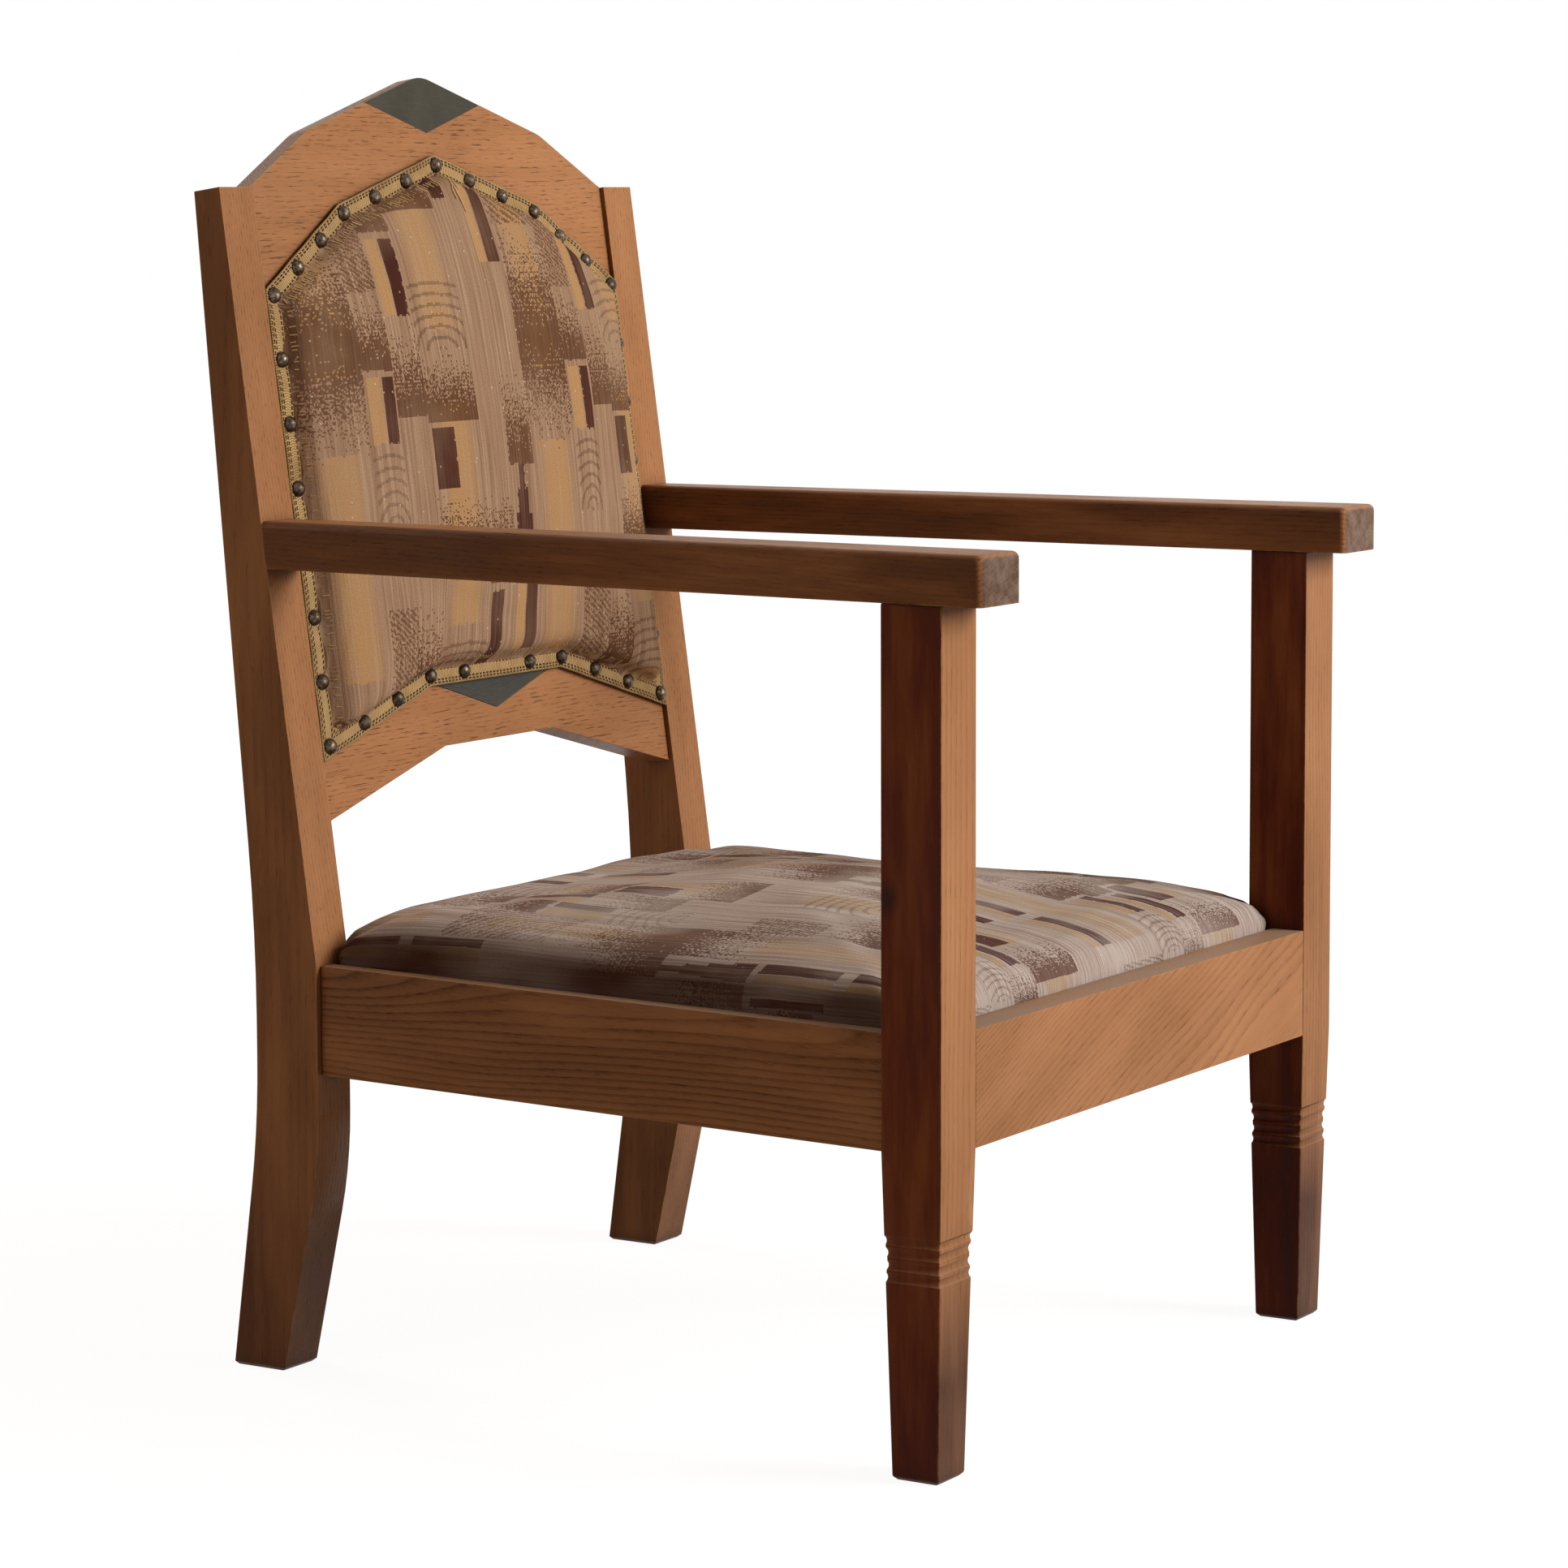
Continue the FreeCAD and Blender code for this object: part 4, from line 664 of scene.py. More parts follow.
def even_net(name, node, slacken):
    """A copy of a CAD pad with welded corners, made slack, as one net of even squares."""
    body = welded(node)
    for point in body.verts:
        point.co = slacken(point.co)
    piece = new_piece(name, body)
    remesh = piece.modifiers.new("even_net", "REMESH")
    remesh.mode = "VOXEL"
    remesh.voxel_size = NET
    ready = bpy.data.meshes.new_from_object(piece.evaluated_get(bpy.context.evaluated_depsgraph_get()))
    piece.modifiers.clear()
    piece.data = ready
    return piece


def blow_up(piece, held, cap):
    """Cloth under pressure, held by a weight per point, no point travelling further than the cap."""
    mesh = piece.data
    start = np.empty(len(mesh.vertices) * 3)
    mesh.vertices.foreach_get("co", start)
    tacks = piece.vertex_groups.new(name="tacked")
    for point in mesh.vertices:
        tacks.add([point.index], held(point.co), "REPLACE")
    cover = piece.modifiers.new("cover", "CLOTH")
    cover.settings.quality = 6
    cover.settings.mass = 0.3
    cover.settings.tension_stiffness = 18
    cover.settings.compression_stiffness = 12
    cover.settings.shear_stiffness = 6
    cover.settings.bending_stiffness = 1.5
    cover.settings.use_pressure = True
    cover.settings.uniform_pressure_force = 4
    cover.settings.vertex_group_mass = tacks.name
    cover.settings.effector_weights.gravity = 0
    cover.collision_settings.use_collision = False
    for step in range(1, FILL_STEPS + 1):
        scene.frame_set(step)
    filled = np.empty_like(start)
    piece.evaluated_get(bpy.context.evaluated_depsgraph_get()).data.vertices.foreach_get("co", filled)
    piece.modifiers.clear()
    scene.frame_set(1)
    move = (filled - start).reshape(-1, 3)
    travel = np.linalg.norm(move, axis=1, keepdims=True)
    move *= np.minimum(1, cap / np.maximum(travel, 1e-9))
    mesh.vertices.foreach_set("co", (start.reshape(-1, 3) + move).ravel())
    mesh.update()
    print(piece.name, "points", len(mesh.vertices), "moved up to", round(float(travel.max()) / MM, 1), "mm")


def cover_with(piece, place_on_cloth, moquette):
    """Marks where each point lies on the flat cloth, and puts the moquette on."""
    mesh = piece.data
    marks = mesh.attributes.new("cloth", "FLOAT_VECTOR", "POINT")
    for point in mesh.vertices:
        marks.data[point.index].vector = place_on_cloth(point.co, point.normal)
    for face in mesh.polygons:
        face.use_smooth = True
    coat(piece, moquette)
    smooth = piece.modifiers.new("smooth", "SUBSURF")
    smooth.levels = smooth.render_levels = 1


def slid_out(x, y, outward, drop):
    """A place on the flat cloth, moved out by what the cover has turned down there."""
    if outward.length > 1e-6:
        outward.normalize()
    return Vector((x + outward.x * drop, y + outward.y * drop, 0))


def smoothstep(low, high, value):
    """0 below, 1 above, and a soft step between."""
    share = min(1.0, max(0.0, (value - low) / (high - low)))
    return share * share * (3 - 2 * share)


# %% Seat cushion
SEAT_WALL_TOP, SEAT_FREE = 0.319, 0.335
SEAT_TURN = 0.357
SEAT_SLACK = 0.9
SEAT_HALF = 0.27
SEAT_LUMPS, SEAT_LUMP = 14, 2.2
POCKET_SHARE = 0.97
POCKET_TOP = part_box("seat_hessian")[1].z
seat_mesh = cad_pieces["seat_pad"].data
pocket = {(round(point.co.x, 4), round(point.co.y, 4)) for point in seat_mesh.vertices
          if abs(point.co.z - POCKET_TOP) < 0.0002}
print("corners of the pocket for the loose frame", len(pocket))


def slack_seat(place):
    """The crown let down a little, and the thin skirt made thicker inside, which gives the net room."""
    above = max(0.0, place.z - SEAT_WALL_TOP)
    share = POCKET_SHARE if (round(place.x, 4), round(place.y, 4)) in pocket else 1.0
    return Vector((place.x * share, place.y * share, place.z - above * (1 - SEAT_SLACK)))


def tacked_seat(place):
    return 1 - smoothstep(SEAT_WALL_TOP, SEAT_FREE, place.z)


def seat_on_cloth(place, normal):
    drop = max(0.0, SEAT_TURN - place.z) * (1 - max(0.0, normal.z))
    return slid_out(place.x, place.y, Vector((normal.x, normal.y, 0)), drop)


seat_cushion = even_net("seat_cushion", "seat_pad", slack_seat)
skirt = faces_of(seat_mesh)
for point in seat_cushion.data.vertices:
    point.co = point.co.lerp(skirt.find_nearest(point.co)[0], tacked_seat(point.co))
blow_up(seat_cushion, tacked_seat, FILL_CAP)
for point in seat_cushion.data.vertices:
    free = 1 - tacked_seat(point.co)
    lump = noise.noise(Vector((point.co.x * SEAT_LUMPS, point.co.y * SEAT_LUMPS, 3.0)))
    outward = max(abs(point.co.x), abs(point.co.y)) / SEAT_HALF
    shoulder = smoothstep(0.35, 0.8, outward) * (4 + 4 * smoothstep(0, 0.15, point.co.y))
    shoulder *= 1 - smoothstep(0.6, 1.0, min(abs(point.co.x), abs(point.co.y)) / SEAT_HALF)
    point.co.z += free * (lump * SEAT_LUMP + shoulder) * MM
cover_with(seat_cushion, seat_on_cloth, seat_moquette)
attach(seat_cushion, "drop_in_seat")
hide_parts("seat_pad")
crown = max(point.co.z for point in seat_cushion.data.vertices)

# %% [markdown]
# ## The leaning back
#
# Everything on the back lies in a plane that leans 7.95 degrees, so two small functions go between the room
# and that plane: across, up the slope, and behind the front faces of the posts.

# %% Back coordinates
LEAN = math.radians(7.95)
BACK_FOOT_Y, BACK_FOOT_Z = 0.23926, 0.313
UP_SLOPE = Vector((0, math.sin(LEAN), math.cos(LEAN)))
BEHIND = Vector((0, math.cos(LEAN), -math.sin(LEAN)))


def on_back(across, up, behind):
    return Vector((across,
                   BACK_FOOT_Y + behind * math.cos(LEAN) + up * math.sin(LEAN),
                   BACK_FOOT_Z - behind * math.sin(LEAN) + up * math.cos(LEAN)))


def from_back(place):
    y, z = place.y - BACK_FOOT_Y, place.z - BACK_FOOT_Z
    return Vector((place.x, y * math.sin(LEAN) + z * math.cos(LEAN), y * math.cos(LEAN) - z * math.sin(LEAN)))


PANEL_HALF = [(0.089, 0.196), (0.2345, 0.1515), (0.2345, 0.508), (0.1314, 0.572), (0.0, 0.6106)]
PANEL = [Vector(corner) for corner in PANEL_HALF] + [Vector((-x, up)) for x, up in reversed(PANEL_HALF[:-1])]


def inside_panel(x, up):
    """Distance in from the nearest edge of the panel outline, negative outside."""
    spot = Vector((x, up))
    return min((spot - first).dot(Vector((first.y - last.y, last.x - first.x)).normalized())
               for first, last in zip(PANEL, PANEL[1:] + PANEL[:1]))


print("middle of the panel is", round(inside_panel(0, 0.38) / MM), "mm in from its nearest edge")

# %% Back cushion
PAD_BASE = 0.001
PAD_TACKED, PAD_FREE = 0.012, 0.026
PAD_SLACK = 0.88
PAD_TURN = 0.028
PAD_LUMPS, PAD_LUMP = 13, 2.0


def slack_back(place):
    flat = from_back(place)
    if flat.z < PAD_BASE:
        flat.z = PAD_BASE + (flat.z - PAD_BASE) * PAD_SLACK
    return on_back(*flat)


def tacked_back(place):
    flat = from_back(place)
    if flat.z > PAD_BASE - 0.002:
        return 1.0
    return 1 - smoothstep(PAD_TACKED, PAD_FREE, inside_panel(flat.x, flat.y))


def back_on_cloth(place, normal):
    flat = from_back(place)
    out_up = normal.y * math.sin(LEAN) + normal.z * math.cos(LEAN)
    facing = -(normal.y * math.cos(LEAN) - normal.z * math.sin(LEAN))
    drop = 0.5 * max(0.0, flat.z + PAD_TURN) * (1 - max(0.0, facing))
    return slid_out(flat.x, flat.y, Vector((normal.x, out_up, 0)), drop)


back_cushion = even_net("back_cushion", "back_pad", slack_back)
blow_up(back_cushion, tacked_back, FILL_CAP)
for point in back_cushion.data.vertices:
    free = 1 - tacked_back(point.co)
    lump = noise.noise(Vector((point.co.x * PAD_LUMPS, point.co.z * PAD_LUMPS, 7.0)))
    point.co.y += free * lump * PAD_LUMP * MM
cover_with(back_cushion, back_on_cloth, back_moquette)
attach(back_cushion, "frame")
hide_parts("back_pad")
foremost = min(from_back(point.co).z for point in back_cushion.data.vertices)
print("back cushion front at", round(foremost / MM, 1), "mm")

# %% [markdown]
# ## Nails
#
# Thirty-five dome nails hold the braid. They are pressed from thin steel and bronzed, and the bronze has
# darkened and rubbed through on top. The CAD nails are coarse, but they stand in the right places, so their
# middles are read from them and a smooth dome with a small rim is turned at each, no two quite square to
# the wood.

# %% Dome nails
def bronzed_steel():
    """Dark brown metal with pale rubbed spots: mirror-like patches broken by a dull skin."""
    finish, tree = start_finish("bronzed_steel_nail")
    here = put(tree, "TexCoord", out="Object")
    skin = speckle(tree, here, 420.0, 3.0)
    tone = speckle(tree, here, 60.0, 1.0)
    colour = ramp(tree, skin, (0.32, "#2F2822"), (0.5, "#55483A"), (0.68, "#80705C"))
    colour = blend(tree, fade(tree, tone, 0.35, 0.65, 0.0, 0.5), colour, tint("#3D342C"))
    dull = fade(tree, skin, 0.3, 0.7, 0.56, 0.36)
    bump = put(tree, "Bump", Strength=0.3, Distance=0.08 * MM, Height=skin)
    return end_finish(finish, tree, Base_Color=colour, Metallic=1.0, Roughness=dull, Normal=bump)


def middles_of(node):
    """The middle of each separate lump of a CAD node."""
    body = welded(node)
    waiting, middles = set(body.verts), []
    while waiting:
        lump, front = set(), [waiting.pop()]
        while front:
            point = front.pop()
            lump.add(point)
            fresh = {edge.other_vert(point) for edge in point.link_edges} & waiting
            waiting -= fresh
            front.extend(fresh)
        flat = [from_back(point.co) for point in lump]
        middles.append(Vector(((min(p.x for p in flat) + max(p.x for p in flat)) / 2,
                               (min(p.y for p in flat) + max(p.y for p in flat)) / 2,
                               max(p.z for p in flat))))
    body.free()
    return sorted(middles, key=lambda spot: (round(spot.y, 4), round(spot.x, 4)))


nail_spots = middles_of("back_nails")
NAIL_RADIUS, NAIL_HEIGHT = 6.1 * MM, 5.2 * MM
DOME_STEPS, DOME_TURNS = 7, 28
NAIL_TIP, RIM_SHARE = 0.07, 1.04

nails = bmesh.new()
for number, spot in enumerate(nail_spots):
    tip = Euler((NAIL_TIP * math.sin(number * 2.4), NAIL_TIP * math.cos(number * 3.1), 0)).to_matrix()
    rings = []
    for level in range(DOME_STEPS):
        angle = level / DOME_STEPS * math.pi / 2
        radius = NAIL_RADIUS * math.cos(angle) * (1.0 if level else RIM_SHARE)
        rise = NAIL_HEIGHT * math.sin(angle)
        turns = [turn / DOME_TURNS * 2 * math.pi for turn in range(DOME_TURNS)]
        ring = [tip @ Vector((radius * math.cos(turn), radius * math.sin(turn), -rise)) for turn in turns]
        rings.append([nails.verts.new(on_back(*(spot + point))) for point in ring])
    crown = nails.verts.new(on_back(*(spot + tip @ Vector((0, 0, -NAIL_HEIGHT)))))
    for lower, upper in zip(rings, rings[1:]):
        for turn in range(DOME_TURNS):
            after = (turn + 1) % DOME_TURNS
            nails.faces.new((lower[turn], lower[after], upper[after], upper[turn]))
    for turn in range(DOME_TURNS):
        nails.faces.new((rings[-1][turn], rings[-1][(turn + 1) % DOME_TURNS], crown))
    nails.faces.new(list(reversed(rings[0])))
bmesh.ops.recalc_face_normals(nails, faces=nails.faces)
for face in nails.faces:
    face.smooth = len(face.verts) < 5
dome_nails = new_piece("dome_nails", nails)
coat(dome_nails, bronzed_steel())
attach(dome_nails, "frame")
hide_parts("back_nails")
print("dome nails:", len(nail_spots))

# %% [markdown]
# ## Braid
#
# A flat woven braid covers the raw edge of the moquette: tan cotton with two rows of dark stitches along
# each rim. It is laid as a ribbon round the panel, mitred at the corners. Under each nail it is pressed
# flat, and between the nails it stands off a little and wanders sideways. The ribbon carries its own length
# and width as a UV map for the stitches. Rubbed ends of thread hang over its inner rim, most of them under
# the gable.

# %% Woven cotton braid
STITCH = 4.6 * MM
TWILL = 2.1 * MM


def cotton_braid():
    """Matt tan thread in a fine herringbone, dark dashes near both rims, soiled in patches."""
    finish, tree = start_finish("woven_cotton_braid")
    ribbon = put(tree, "UVMap", uv_map="ribbon")
    along = part_of(tree, ribbon, "X")
    across = part_of(tree, ribbon, "Y")
    soil = speckle(tree, put(tree, "TexCoord", out="Object"), 60.0, 3.0)
    lean = calc(tree, "PINGPONG", times(tree, across, 3.0), 0.5)
    twill = calc(tree, "ADD", times(tree, along, 1 / TWILL), lean)
    twill = calc(tree, "PINGPONG", calc(tree, "FRACT", twill), 0.5)
    colour = ramp(tree, twill, (0.05, "#81623A"), (0.2, "#B08D5B"), (0.42, "#C8A978"))
    dash = calc(tree, "FRACT", times(tree, along, 1 / STITCH))
    dash = calc(tree, "LESS_THAN", dash, 0.64)
    from_rim = calc(tree, "PINGPONG", across, 0.5)
    outer_row = calc(tree, "COMPARE", from_rim, 0.12, 0.04)
    inner_row = calc(tree, "COMPARE", from_rim, 0.25, 0.045)
    stitches = times(tree, dash, calc(tree, "MAXIMUM", outer_row, inner_row))
    colour = blend(tree, times(tree, stitches, 0.95), colour, tint("#2C180D"))
    colour = blend(tree, fade(tree, soil, 0.4, 0.75, 0.0, 0.5), colour, tint("#7B5A35"))
    relief = calc(tree, "ADD", stitches, twill)
    bump = put(tree, "Bump", Strength=0.7, Distance=0.4 * MM, Height=relief)
    dull = fade(tree, soil, 0.3, 0.7, 0.8, 0.92)
    return end_finish(finish, tree, Base_Color=colour, Roughness=dull, Normal=bump, Sheen_Weight=0.1,
                      IOR=1.45, Specular_IOR_Level=0.1)


# %% Ribbon round the panel
BRAID_OUT, BRAID_IN = 0.9 * MM, 15.8 * MM
BRAID_FACE = -0.3 * MM
BRAID_STEP, BRAID_LANES = 3.2 * MM, 6
WANDER, PUFF, RIM_LIFT = 1.3 * MM, 0.9 * MM, 1.6 * MM


def inset_corner(before, corner, after, distance):
    """The corner of an outline moved in, so that both edges keep the distance."""
    first = (corner - before).normalized()
    second = (after - corner).normalized()
    inward_first = Vector((-first.y, first.x))
    inward_second = Vector((-second.y, second.x))
    mitre = inward_first + inward_second
    return corner + mitre * (distance / (1 + inward_first.dot(inward_second)))


count = len(PANEL)
rims = [[inset_corner(PANEL[i - 1], PANEL[i], PANEL[(i + 1) % count], distance) for i in range(count)]
        for distance in (-BRAID_OUT, BRAID_IN)]
flat_nails = [Vector((spot.x, spot.y)) for spot in nail_spots]
ribbon = bmesh.new()
lay = ribbon.loops.layers.uv.new("ribbon")
inner_rim = []
run = 0.0
for i in range(count):
    outer_edge, inner_edge = ((rim[i], rim[(i + 1) % count]) for rim in rims)
    side = outer_edge[1] - outer_edge[0]
    inward = Vector((-side.y, side.x)).normalized()
    steps = max(2, round(side.length / BRAID_STEP))
    rows = []
    for step in range(steps + 1):
        share = step / steps
        edge_out = outer_edge[0].lerp(outer_edge[1], share)
        edge_in = inner_edge[0].lerp(inner_edge[1], share)
        inner_rim.append((edge_in, inward))
        loose = math.sin(math.pi * share)
        wander = noise.noise(Vector((edge_in.x * 45, edge_in.y * 45, 1.5))) * WANDER * loose
        row = []
        for lane in range(BRAID_LANES + 1):
            width_share = lane / BRAID_LANES
            spot = edge_out.lerp(edge_in, width_share) + inward * wander * width_share
            near = min((spot - nail).length for nail in flat_nails)
            puff = PUFF * smoothstep(6 * MM, 18 * MM, near)
            puff *= 0.6 + 0.4 * math.sin(math.pi * width_share)
            puff += RIM_LIFT * smoothstep(0.72, 1.0, width_share)
            row.append((ribbon.verts.new(on_back(spot.x, spot.y, BRAID_FACE - puff)),
                        (run + share * side.length, width_share)))
        rows.append(row)
    run += side.length
    for first, second in zip(rows, rows[1:]):
        for lane in range(BRAID_LANES):
            corners = (first[lane], second[lane], second[lane + 1], first[lane + 1])
            face = ribbon.faces.new([corner[0] for corner in corners])
            face.smooth = True
            for loop, corner in zip(face.loops, corners):
                loop[lay].uv = corner[1]
bmesh.ops.remove_doubles(ribbon, verts=ribbon.verts, dist=0.05 * MM)
print("braid length", round(run, 3), "m, nails on it", len(flat_nails))

# %% Frayed threads
cover = faces_of(back_cushion.data)
THREAD = 0.9 * MM      # real threads are 0.3 mm, too fine to show
luck = random.Random(7)


def on_cover(spot):
    """The point of the stuffed cover in front of a spot of the back plane."""
    hit = cover.ray_cast(on_back(spot.x, spot.y, -0.08), BEHIND)[0]
    return hit - BEHIND * THREAD if hit else on_back(spot.x, spot.y, BRAID_FACE)


def lay_thread(spots):
    """A narrow strip over the cover, from spot to spot."""
    route = [on_cover(spot) for spot in spots]
    pairs = []
    for number, place in enumerate(route):
        ahead = route[min(number + 1, len(route) - 1)] - route[max(number - 1, 0)]
        aside = ahead.cross(BEHIND).normalized() * THREAD / 2
        pairs.append((ribbon.verts.new(place - aside), ribbon.verts.new(place + aside)))
    for first, second in zip(pairs, pairs[1:]):
        face = ribbon.faces.new((first[0], second[0], second[1], first[1]))
        for loop in face.loops:
            loop[lay].uv = (0.0, 0.5)


frayed = 0
for rim_spot, inward in inner_rim:
    gable = inward.y < -0.3
    if luck.random() < (0.75 if gable else 0.35):
        reach = luck.uniform(0.8, 4.2 if gable else 1.8) * MM
        slant = Vector((-inward.y, inward.x)) * luck.uniform(-0.5, 0.5)
        lay_thread([rim_spot - inward * MM, rim_spot + (inward + slant) * reach])
        frayed += 1
apex = Vector((0, max(spot.y for spot, inward in inner_rim)))
LONG_THREADS = ((31 * MM, 4 * MM), (20 * MM, -3 * MM), (12 * MM, 7 * MM))
LONG_STEPS = 9
for reach, drift in LONG_THREADS:
    spots = []
    for step in range(LONG_STEPS + 1):
        share = step / LONG_STEPS
        curl = 1.5 * MM * math.sin(5 * share + reach * 90)
        spots.append(apex + Vector((drift * share + curl, -reach * share)))
    lay_thread(spots)
print("frayed threads:", frayed, "and three long ones under the apex")

# %% Braid as a piece
braid = new_piece("braid", ribbon)
coat(braid, cotton_braid())
body = braid.modifiers.new("thread_thickness", "SOLIDIFY")
body.thickness = 1.1 * MM
body.offset = -1
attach(braid, "frame")
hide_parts("back_braid")
print("braid faces:", len(braid.data.polygons))

# %% [markdown]
# ## Plain cloths
#
# Jute hessian carries the stuffing of seat and back, jute webbing carries the seat, and a plain cotton
# sheet closes the back from behind. All are plain weaves that differ in thread size and colour, so one
# function makes the three finishes from a thread spacing. Straps and sheets are built as meshes, slightly
# uneven, because a remesh would eat them.

# %% Plain weave
def plain_weave(name, spacing, shades, stripe=None):
    """Threads that pass over and under each other: small pillows, darker holes, slubs along both ways."""
    finish, tree = start_finish(name)
    cloth = put(tree, "Attribute", attribute_name="cloth", out="Vector")
    slub = speckle(tree, cloth, 60.0, 3.0, out="Color")
    slub = put(tree, "VectorMath", slub, (0.5, 0.5, 0.5), operation="SUBTRACT")
    loose = put(tree, "VectorMath", slub, (spacing * 1.2,) * 3, cloth, operation="MULTIPLY_ADD")
    warp = times(tree, part_of(tree, loose, "X"), math.pi / spacing)
    weft = times(tree, part_of(tree, loose, "Y"), math.pi / spacing)
    pillow = times(tree, calc(tree, "SINE", warp), calc(tree, "SINE", weft))
    pillow = calc(tree, "ABSOLUTE", pillow)
    broad = speckle(tree, cloth, 14.0, 3.0)
    colour = ramp(tree, pillow, (0.0, shades[0]), (0.35, shades[1]), (0.9, shades[2]))
    if stripe:
        lane = calc(tree, "PINGPONG", part_of(tree, cloth, "Z"), 0.5)
        lane = calc(tree, "COMPARE", lane, 0.17, 0.035)
        colour = blend(tree, times(tree, lane, 0.8), colour, tint(stripe))
    colour = blend(tree, fade(tree, broad, 0.4, 0.75, 0.0, 0.45), colour, tint(shades[0]))
    bump = put(tree, "Bump", Strength=0.8, Distance=spacing * 0.3, Height=pillow)
    dull = fade(tree, broad, 0.3, 0.7, 0.82, 0.95)
    return end_finish(finish, tree, Base_Color=colour, Roughness=dull, Normal=bump, Sheen_Weight=0.1,
                      IOR=1.45)


hessian_finish = plain_weave("jute_hessian", 2.2 * MM, ("#6B4E2E", "#A5824F", "#BD9C66"))
webbing_finish = plain_weave("jute_webbing", 2.6 * MM, ("#77603F", "#B0946A", "#CDB78F"), stripe="#6A2B22")
outback_finish = plain_weave("cotton_outback", 1.6 * MM, ("#4A3B2C", "#6E5A44", "#83705A"))
print("plain weaves:", hessian_finish.name, webbing_finish.name, outback_finish.name)

# %% A sheet from the face of a CAD cloth
def cloth_sheet(name, node, pick, cell, relief, flatten):
    """Takes the chosen faces of a CAD cloth, cuts them to a grid and moves the points by the relief."""
    body = welded(node)
    bmesh.ops.delete(body, geom=[face for face in body.faces if not pick(face.normal)], context="FACES")
    spread = [flatten(point.co) for point in body.verts]
    low = Vector((min(p.x for p in spread), min(p.y for p in spread)))
    high = Vector((max(p.x for p in spread), max(p.y for p in spread)))
    for axis, first, last in ((pick.across, low.x, high.x), (pick.along, low.y, high.y)):
        cuts = round((last - first) / cell)
        for cut in range(1, cuts):
            level = first + (last - first) * cut / cuts
            bmesh.ops.bisect_plane(body, geom=body.verts[:] + body.edges[:] + body.faces[:], dist=1e-6,
                                   plane_co=pick.origin + axis * level, plane_no=axis)
    area = sum(face.calc_area() for face in body.faces)
    piece = new_piece(name, body)
    mesh = piece.data
    marks = mesh.attributes.new("cloth", "FLOAT_VECTOR", "POINT")
    for point in mesh.vertices:
        flat = flatten(point.co)
        marks.data[point.index].vector = (flat.x, flat.y, 0)
        inside = min(flat.x - low.x, high.x - flat.x, flat.y - low.y, high.y - flat.y)
        point.co = point.co + pick.outward * relief(flat.x, flat.y, inside)
    for face in mesh.polygons:
        face.use_smooth = True
    print(name, "area", round(area, 4), "m2, size", [round(v, 3) for v in high - low])
    return piece, high - low, area


class Facing:
    """Which faces of a cloth to take, and the two directions that lie in it."""

    def __init__(self, outward, across, along, origin):
        self.outward = Vector(outward)
        self.across = Vector(across)
        self.along = Vector(along)
        self.origin = Vector(origin)

    def __call__(self, normal):
        return normal.dot(self.outward) > 0.9


BACK_ORIGIN = Vector((0, BACK_FOOT_Y, BACK_FOOT_Z))
from_behind = Facing(BEHIND, (1, 0, 0), UP_SLOPE, BACK_ORIGIN)
from_below = Facing((0, 0, -1), (1, 0, 0), (0, 1, 0), (0, 0, 0))

# %% Outback, hessians
def stretched(x, y, inside):
    """A turned hem and slow ripples inside it."""
    hem = 0.5 * MM * (1 - smoothstep(10 * MM, 12 * MM, inside))
    ripple = noise.noise(Vector((x * 16, y * 9, 2.0))) * 0.9 * MM * smoothstep(0, 60 * MM, inside)
    return hem + ripple - 0.2 * MM


def pressed(x, y, inside):
    """Stuffing that shows through a little."""
    return noise.noise(Vector((x * 40, y * 40, 4.0))) * 0.2 * MM


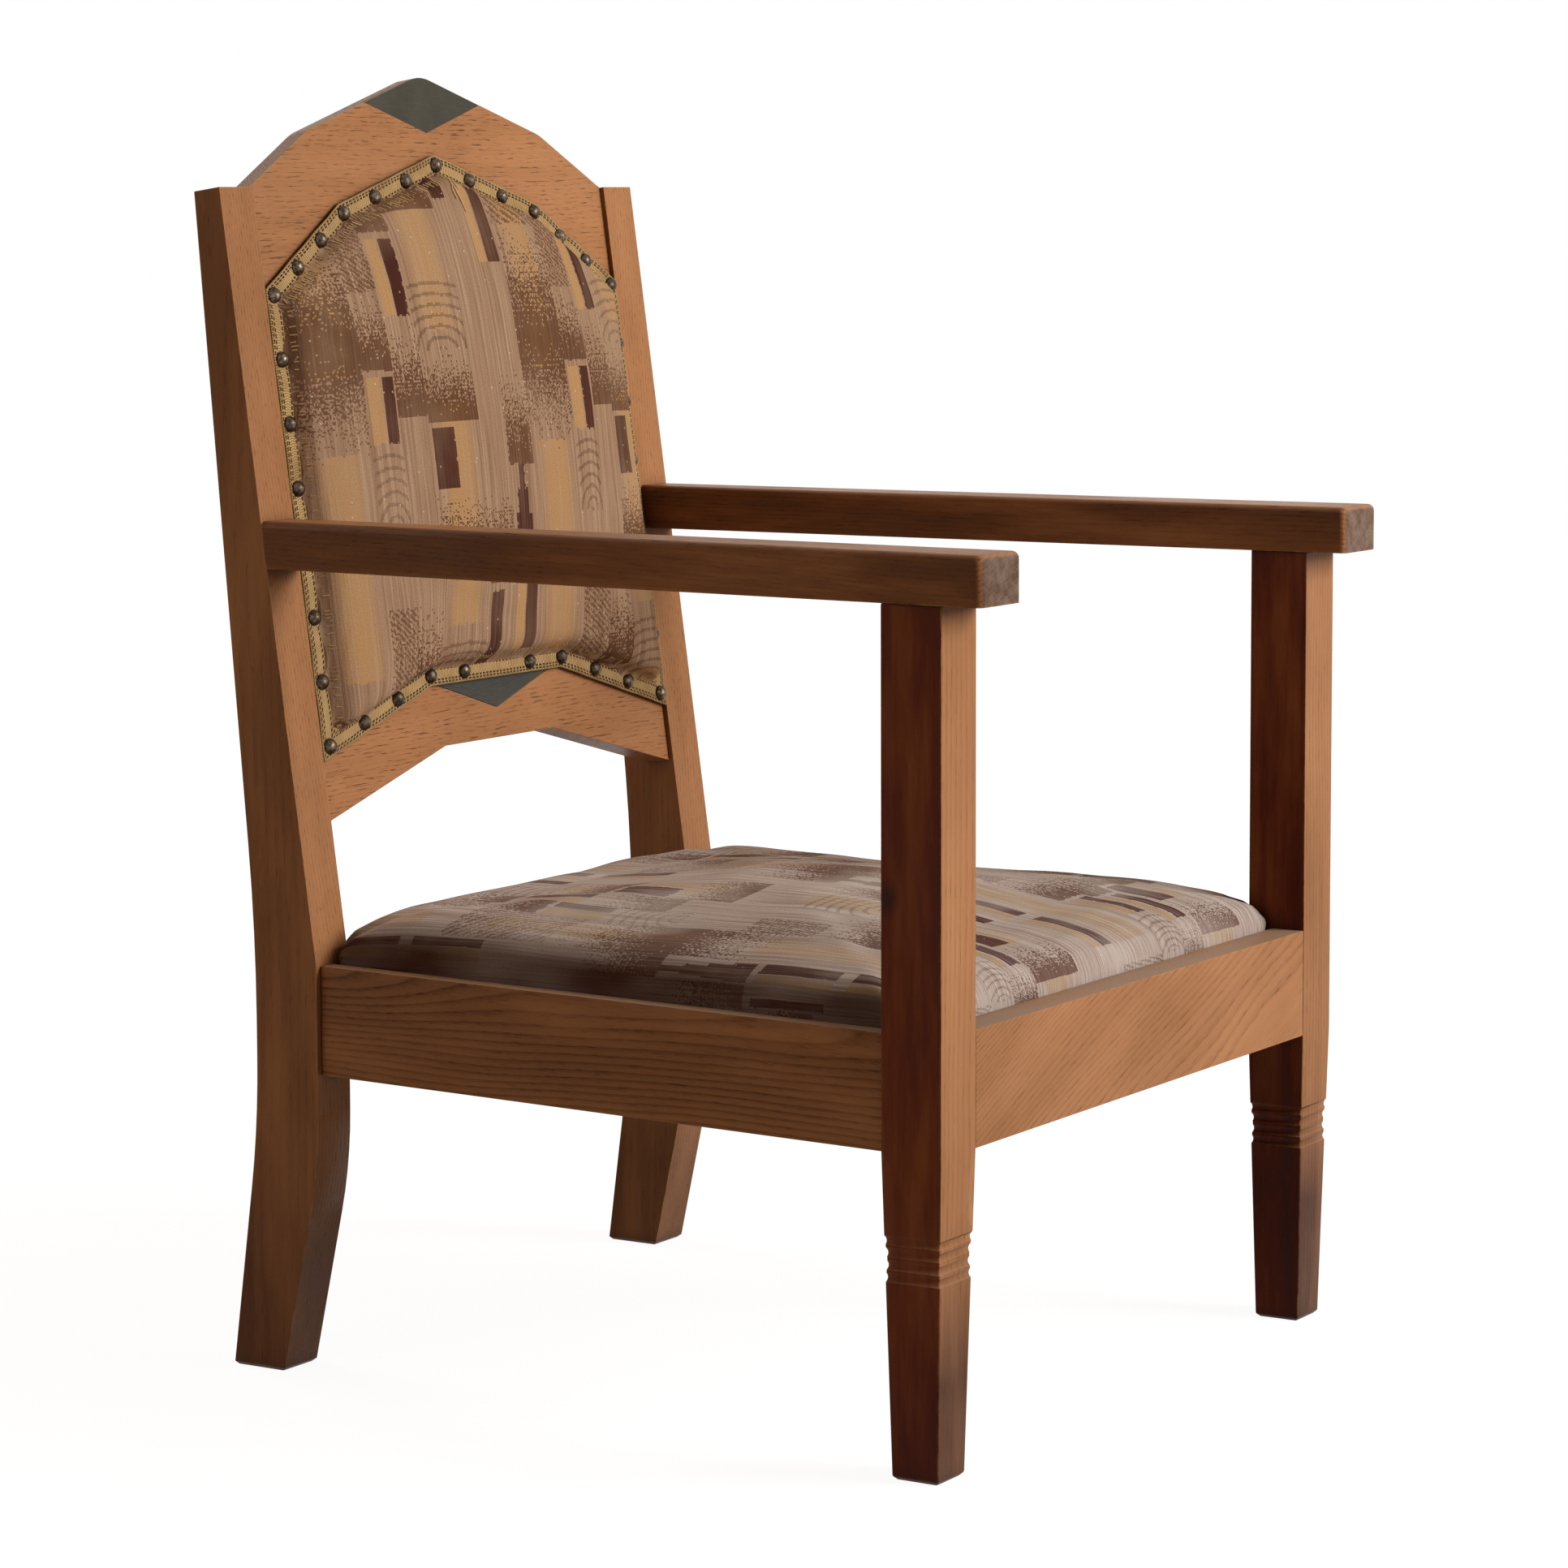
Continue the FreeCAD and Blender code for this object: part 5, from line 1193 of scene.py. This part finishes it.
CLOTH_CELL = 12 * MM
BACK_FRAME = ["crest_rail", "lower_back_rail", "right_back_stile", "left_back_stile"]
CLOTHS = (
    ("outback_sheet", "outback_cloth", from_behind, stretched, from_back,
     outback_finish, "frame", "outback", BACK_FRAME),
    ("back_hessian_sheet", "back_hessian", from_behind, pressed, from_back,
     hessian_finish, "frame", "hessian", BACK_FRAME),
    ("seat_hessian_sheet", "seat_hessian", from_below, pressed, Vector,
     hessian_finish, "drop_in_seat", "hessian", ["seat_webbing"]),
)
for name, node, pick, relief, flatten, finish, rider, slot, below in CLOTHS:
    sheet, size, area = cloth_sheet(name, node, pick, CLOTH_CELL, relief, flatten)
    coat(sheet, finish)
    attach(sheet, rider)
    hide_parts(node)

# %% Webbing, woven over and under
strap_low, strap_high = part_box("seat_webbing")
STRAP_COUNT, STRAP_WIDTH = 4, 50 * MM
STRAP_BODY, STRAP_LIFT = 0.9 * MM, 0.5 * MM
STRAP_STEPS, STRAP_LANES = 80, 8
NEXT_STRAP = 0.11
strap_level = (strap_low.z + strap_high.z) / 2
middle_of_straps = (strap_low + strap_high) / 2
half_span = (strap_high - strap_low) / 2
straps = bmesh.new()
spots = straps.verts.layers.float_vector.new("cloth")
for way in (0, 1):
    reach, spread = (half_span.y, half_span.x) if way == 0 else (half_span.x, half_span.y)
    pitch = 2 * reach / STRAP_COUNT
    for number in range(STRAP_COUNT):
        centre = spread * ((2 * number + 1) / STRAP_COUNT - 1)
        sign = 1 if (number + way) % 2 else -1
        rows = []
        for step in range(STRAP_STEPS + 1):
            along = reach * (2 * step / STRAP_STEPS - 1)
            lift = sign * STRAP_LIFT * math.sin(math.pi * (along + reach) / pitch)
            row = []
            for lane in range(STRAP_LANES + 1):
                width_share = lane / STRAP_LANES
                side = centre + STRAP_WIDTH * (width_share - 0.5)
                x, y = (side, along) if way == 0 else (along, side)
                point = straps.verts.new((middle_of_straps.x + x, middle_of_straps.y + y, strap_level + lift))
                point[spots] = Vector((side, along + number * NEXT_STRAP, width_share))
                row.append(point)
            rows.append(row)
        for first, second in zip(rows, rows[1:]):
            for lane in range(STRAP_LANES):
                face = straps.faces.new((first[lane], first[lane + 1], second[lane + 1], second[lane]))
                face.smooth = True
bmesh.ops.recalc_face_normals(straps, faces=straps.faces)
webbing = new_piece("webbing", straps)
coat(webbing, webbing_finish)
body = webbing.modifiers.new("strap_body", "SOLIDIFY")
body.thickness = STRAP_BODY
body.offset = 0
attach(webbing, "drop_in_seat")
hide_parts("seat_webbing")
print("straps:", 2 * STRAP_COUNT, "level", round(strap_level, 4))
